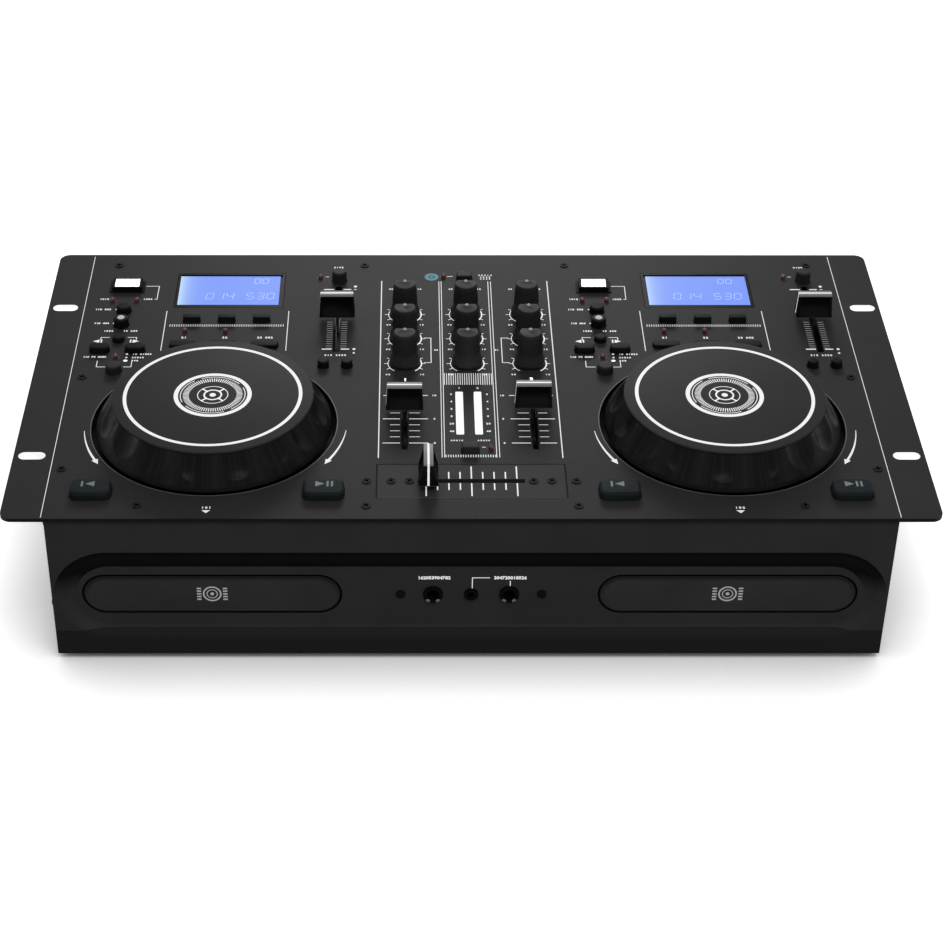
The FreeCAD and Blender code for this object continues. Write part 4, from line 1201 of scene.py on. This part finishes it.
# faders are (centre, outer low, outer high, inner low, inner high, place of the numbers)
mixerPlan = {
    "numbers": (("40414", 13.0, 109.2, 1.5, 1.45), ("4243", 13.0, 107.0, 1.5, 1.45),
                ("4445", 13.0, 104.9, 1.5, 1.45), ("1", -4.4, -12.1, 1.7), ("2", 5.8, -12.1, 1.7),
                ("60616", -6.4, -62.75, 1.4, 1.25), ("62636", 8.0, -62.75, 1.4, 1.25),
                ("1", -34.22, -3.75, 3.0), ("1", -33.98, -3.75, 3.0),
                ("2", 35.78, -3.0, 3.0), ("2", 36.02, -3.0, 3.0)),
    "patches": ((-9.5, -6.2, 107.5, 107.9), (6.9, 8.9, -69.3, -68.9)),
    "outer": (-48.2, 49.4), "outerEnds": (102.5, -79.0), "outerWide": 0.55,
    "inner": (-14.45, -13.1, 14.5, 16.05), "innerEnds": (102.0, -78.5), "innerWide": 0.38,
    "rows": ((22, (-12.4, -3.0), (26.2 / 21, 0), 0.40, 11.6),
             (21, (-12.4, -77.2), (26.4 / 20, 0), 0.45, 2.2)),
    "faders": ((-34.4, -46.1, -21.7, -42.25, -26.1, -18.2), (35.6, 22.9, 47.0, 26.9, 43.1, 19.0)),
    "marks": ((-19.5, "10"), (-42.3, "5"), (-65.2, "0")), "pitch": 5.7, "gap": 2.5,
    "between": (1, 2, 3, 5, 6, 7), "halves": (0.28, 0.2),
    "meter": ("6", "4", "2", "0", "20", "40"), "meterTop": -18.3, "meterStep": 7.16, "meterX": (-8.9, 10.85),
    "scale": (9.4, 11.6), "scaleDrop": 1.0, "tooth": 0.4,
    "arcs": ((128, 232, 0.4, (150, 180, 210)), (52, -52, 0.75, (30, 0, -30))),
    "ends": (("00", -9.4), ("10", 9.6)), "endDrop": 12.2,
    "topEnds": (("00", -8.2), ("10", 8.4)), "topLevel": 93.2,
    "brackets": ((-19.6, -1, "50"), (20.4, 1, "51")), "bracket": (4.0, 39.5, 13.7),
    "bracketText": (2.9, 26.8),
}


def knobScale(ink, x, y):
    inner, outer = mixerPlan["scale"]
    middle = y - mixerPlan["scaleDrop"]
    for start, end, width, teeth in mixerPlan["arcs"]:
        stroke(ink, arcPoints(x, middle, inner, start, end, 20), width)
        for turn in teeth:
            across, up = math.cos(math.radians(turn)), math.sin(math.radians(turn))
            stroke(ink, [(x + r * across, middle + r * up) for r in (inner, outer)], mixerPlan["tooth"])
    for text, dx in mixerPlan["ends"]:
        number(ink, text, x + dx, y - mixerPlan["endDrop"], 1.5, 1.2)


def faderScale(ink, centre, longLow, longHigh, shortLow, shortHigh, numberX):
    left, right = centre - mixerPlan["gap"], centre + mixerPlan["gap"]
    thick, slim = mixerPlan["halves"]
    for y, text in mixerPlan["marks"]:
        for low, high in ((longLow, left), (right, longHigh)):
            patch(ink, low, high, y - thick, y + thick)
        number(ink, text, numberX, y, 1.6)
    for n in mixerPlan["between"]:
        y = mixerPlan["marks"][0][0] - n * mixerPlan["pitch"]
        for low, high in ((shortLow, left), (right, shortHigh)):
            patch(ink, low, high, y - slim, y + slim)


def mixerPrint(ink):
    for kind in ("outer", "inner"):
        for x in mixerPlan[kind]:
            stroke(ink, [(x, y) for y in mixerPlan[kind + "Ends"]], mixerPlan[kind + "Wide"])
    drawPlan(ink, mixerPlan)
    for column in knob["columns"].values():
        for y in knob["rows"]:
            knobScale(ink, mixerX + column, y)
        for text, dx in mixerPlan["topEnds"]:
            number(ink, text, mixerX + column + dx, mixerPlan["topLevel"], 1.5, 1.1)
    reach, high, low = mixerPlan["bracket"]
    shift, level = mixerPlan["bracketText"]
    for x, turn, text in mixerPlan["brackets"]:
        far = x + turn * reach
        stroke(ink, [(far, high), (x, high), (x, low), (far, low)], 0.45)
        number(ink, text, x - turn * shift, level, 1.5)
    for n, text in enumerate(mixerPlan["meter"]):
        for x in mixerPlan["meterX"]:
            number(ink, text, x, mixerPlan["meterTop"] - n * mixerPlan["meterStep"], 1.6)
    for places in mixerPlan["faders"]:
        faderScale(ink, *places)


panelPlan = {
    "names": ("101", "102"),
    "borders": (((-220.6, 130.6), (-220.0, -131.6)), ((219.4, 130.6), (219.4, -131.6))),
    "badge": (mixerX - 19.3, 107.1), "holeEdgeHighlight": (66.45, 0.5, 160), "glowRing": (1.8, 0.5, 24),
    "ladders": (59.6, 67.8), "ladderTop": 56.6, "rungs": 13, "rung": ((0, -2.31), 3.4, 0.36),
}


def panelPrint():
    ink = newInk()
    for (unused, x), name in zip(decks, panelPlan["names"]):
        deckPrint(ink, x, name)
    mixerPrint(ink)
    for points in panelPlan["borders"]:
        stroke(ink, points, 0.34)
    pressInk("panel_print", ink, whiteInk)
    ink = newInk()
    ring(ink, *panelPlan["badge"], 3.0, 2.2, 40)
    dot(ink, *panelPlan["badge"], 1.2)
    pressInk("source_badge", ink, cyanInk)
    # painted highlight: a grey ring on the edge of each jog hole
    edges, ladders = newInk(), newInk()
    for unused, x in decks:
        ring(edges, x, jogY, *panelPlan["holeEdgeHighlight"])
        for dx in panelPlan["ladders"]:
            row(ladders, panelPlan["rungs"], (x + dx, panelPlan["ladderTop"]), *panelPlan["rung"])
    pressInk("hole_edge_highlights", edges, edgeHighlightInk)
    pressInk("pitch_ladders", ladders, softInk)
    # painted glow: dim red rings on the panel round the lights
    ink = newInk()
    for x, y in allLights:
        ring(ink, x, y, *panelPlan["glowRing"])
    pressInk("painted_glow_rings", ink, redGlowInk)


# the crossfader's scale: nine marks, of which the middle and the end ones are long
scalePlan = {"middle": 0.65, "pitch": 5.93, "half": 0.35, "slot": (-101.9, -97.7),
             "long": (-113.1, -86.8), "short": (-107.8, -91.8)}


def platePrint():
    ink = newInk()
    half = scalePlan["half"]
    for n in range(-4, 5):
        x = scalePlan["middle"] + n * scalePlan["pitch"]
        low, high = scalePlan["long" if n in (-4, 0, 4) else "short"]
        for start, end in ((low, scalePlan["slot"][0]), (scalePlan["slot"][1], high)):
            patch(ink, x - half, x + half, start, end)
    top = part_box("crossfader_plate")[1].z / mm
    pressInk("crossfader_print", ink, whiteInk, matrix=onPanel(top - panelTop))


frontPlan = {"lines": (((1.15, 44.0), (1.15, 51.4), (10.3, 51.4)), ((21.0, 49.3), (21.0, 46.0))),
             "numbers": (("304720018526", 21.0, 51.4, 2.2, 0.8), ("162053904782", -18.8, 51.4, 2.2, 0.8)),
             "thin": 0.45}


def frontPrint():
    ink = newInk()
    drawPlan(ink, frontPlan)
    pressInk("front_print", ink, whiteInk, matrix=onFront(recessFace))


# a plain ring between bars in the middle of each door
markPlan = {"rings": ((4.5, 0.8, 48), (2.7, 0.5, 40)), "dot": 1.0, "bars": (5.7, 8.0), "pitch": 1.8,
            "half": 0.45}


def doorMark(side, x):
    ink = newInk()
    for place in markPlan["rings"]:
        ring(ink, x, rowZ, *place)
    dot(ink, x, rowZ, markPlan["dot"])
    near, far = markPlan["bars"]
    half = markPlan["half"]
    for n in range(-2, 3):
        y = rowZ + n * markPlan["pitch"]
        patch(ink, x - far, x - near, y - half, y + half)
        patch(ink, x + near, x + far, y - half, y + half)
    pressInk(side + "_door_mark", ink, softInk, side + "_tray", onFront(recessFace))


panelPrint()
platePrint()
frontPrint()
for side, centre in decks:
    doorMark(side, math.copysign(trayX, centre))
print("prints ready")


# ---- key symbols ----
symbolPlan = {
    "rise": 4.3,
    "play": {"wedges": ((56.6, -108.2, 2.3, 4.8),),
             "patches": ((62.35, 63.45, -110.5, -105.9), (64.65, 65.75, -110.5, -105.9))},
    "cue": {"wedges": ((-57.6, -108.2, 2.3, -4.8),),
            "patches": ((-64.6, -63.5, -110.5, -105.9),)},
}


def keySymbols(side, x):
    for key in ("play", "cue"):
        ink = newInk()
        drawPlan(ink, symbolPlan[key], x)
        body = side + "_" + key
        pressInk(body + "_symbol", ink, padInk, body, onPanel(symbolPlan["rise"]))


for side, centre in decks:
    keySymbols(side, centre)


# ---- display numerals ----
segments = {"0": "abcdef", "1": "bc", "3": "abgcd", "4": "fgbc", "5": "afgcd"}
strokeEnds = {"a": "tl tr", "b": "tr mr", "c": "mr br", "d": "bl br", "e": "ml bl", "f": "tl ml",
              "g": "ml mr"}
digitPlan = {"wide": 4.0, "tall": 6.6, "slant": 0.12, "line": 0.5, "gap": 1.9, "inset": 0.12, "depth": 0.8,
             "rows": (("00", 17.8, 103.6, 0.8), ("014 530", 6.0, 86.6, 1.0))}


def displayDigit(ink, character, x, y, scale):
    wide = digitPlan["wide"] * scale / 2
    tall = digitPlan["tall"] * scale / 2
    corners = {"tl": (-wide, tall), "tr": (wide, tall), "ml": (-wide, 0), "mr": (wide, 0),
               "bl": (-wide, -tall), "br": (wide, -tall)}
    for letter in segments[character]:
        first, second = (Vector(corners[key]) for key in strokeEnds[letter].split())
        run = (second - first) * digitPlan["inset"]
        points = [first + run, second - run]
        stroke(ink, [(x + p.x + p.y * digitPlan["slant"], y + p.y) for p in points], digitPlan["line"])


displayInk = finish("displayInk", (0.35, 0.48, 0.95), 0.5, 0.2, 0.002)
glow(displayInk, 1.0, (0.30, 0.44, 1.0), 0.85)
for side, centre in decks:
    ink = newInk()
    for text, dx, y, scale in digitPlan["rows"]:
        step = (digitPlan["wide"] + digitPlan["gap"]) * scale
        for n, character in enumerate(text):
            if character != " ":
                displayDigit(ink, character, centre + dx + (n - (len(text) - 1) / 2) * step, y, scale)
    pressInk(side + "_display_digits", ink, displayInk, matrix=onPanel(-digitPlan["depth"]))
print("symbols ready")


# ---- screw recesses ----
# painted shade: black crosses stand for the screws' shaded cross recesses
screws = {
    "places": ((-205.1, 120.4), (-58.6, 120.4), (60.6, 120.4), (205.1, 120.4), (-213.6, -1.2),
               (213.6, -1.2), (-214.4, -89.0), (214.4, -89.0), (-171.8, -121.5), (171.8, -121.5),
               (-54.1, -121.6), (55.3, -121.6), (-54.1, plateY), (55.3, plateY), (-41.3, plateY),
               (-31.8, plateY), (33.0, plateY), (42.5, plateY)),
    "bar": (3.3, 0.9, 0.12), "turn": 0.7, "sink": 0.01,
}


def screwMarks():
    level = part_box("screws")[1].z - screws["sink"] * mm
    base = bpy.data.meshes.new("places")
    base.from_pydata([(x * mm, y * mm, level) for x, y in screws["places"]], [], [])
    values = {"Bar": Vector(screws["bar"]) * mm, "Turn": screws["turn"]}
    mesh = grow(screwCross, "screw_recesses", blackInk, values, base)
    settle("screw_recesses", mesh, blackInk, "chassis")


screwMarks()
print("screws ready")

low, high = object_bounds()
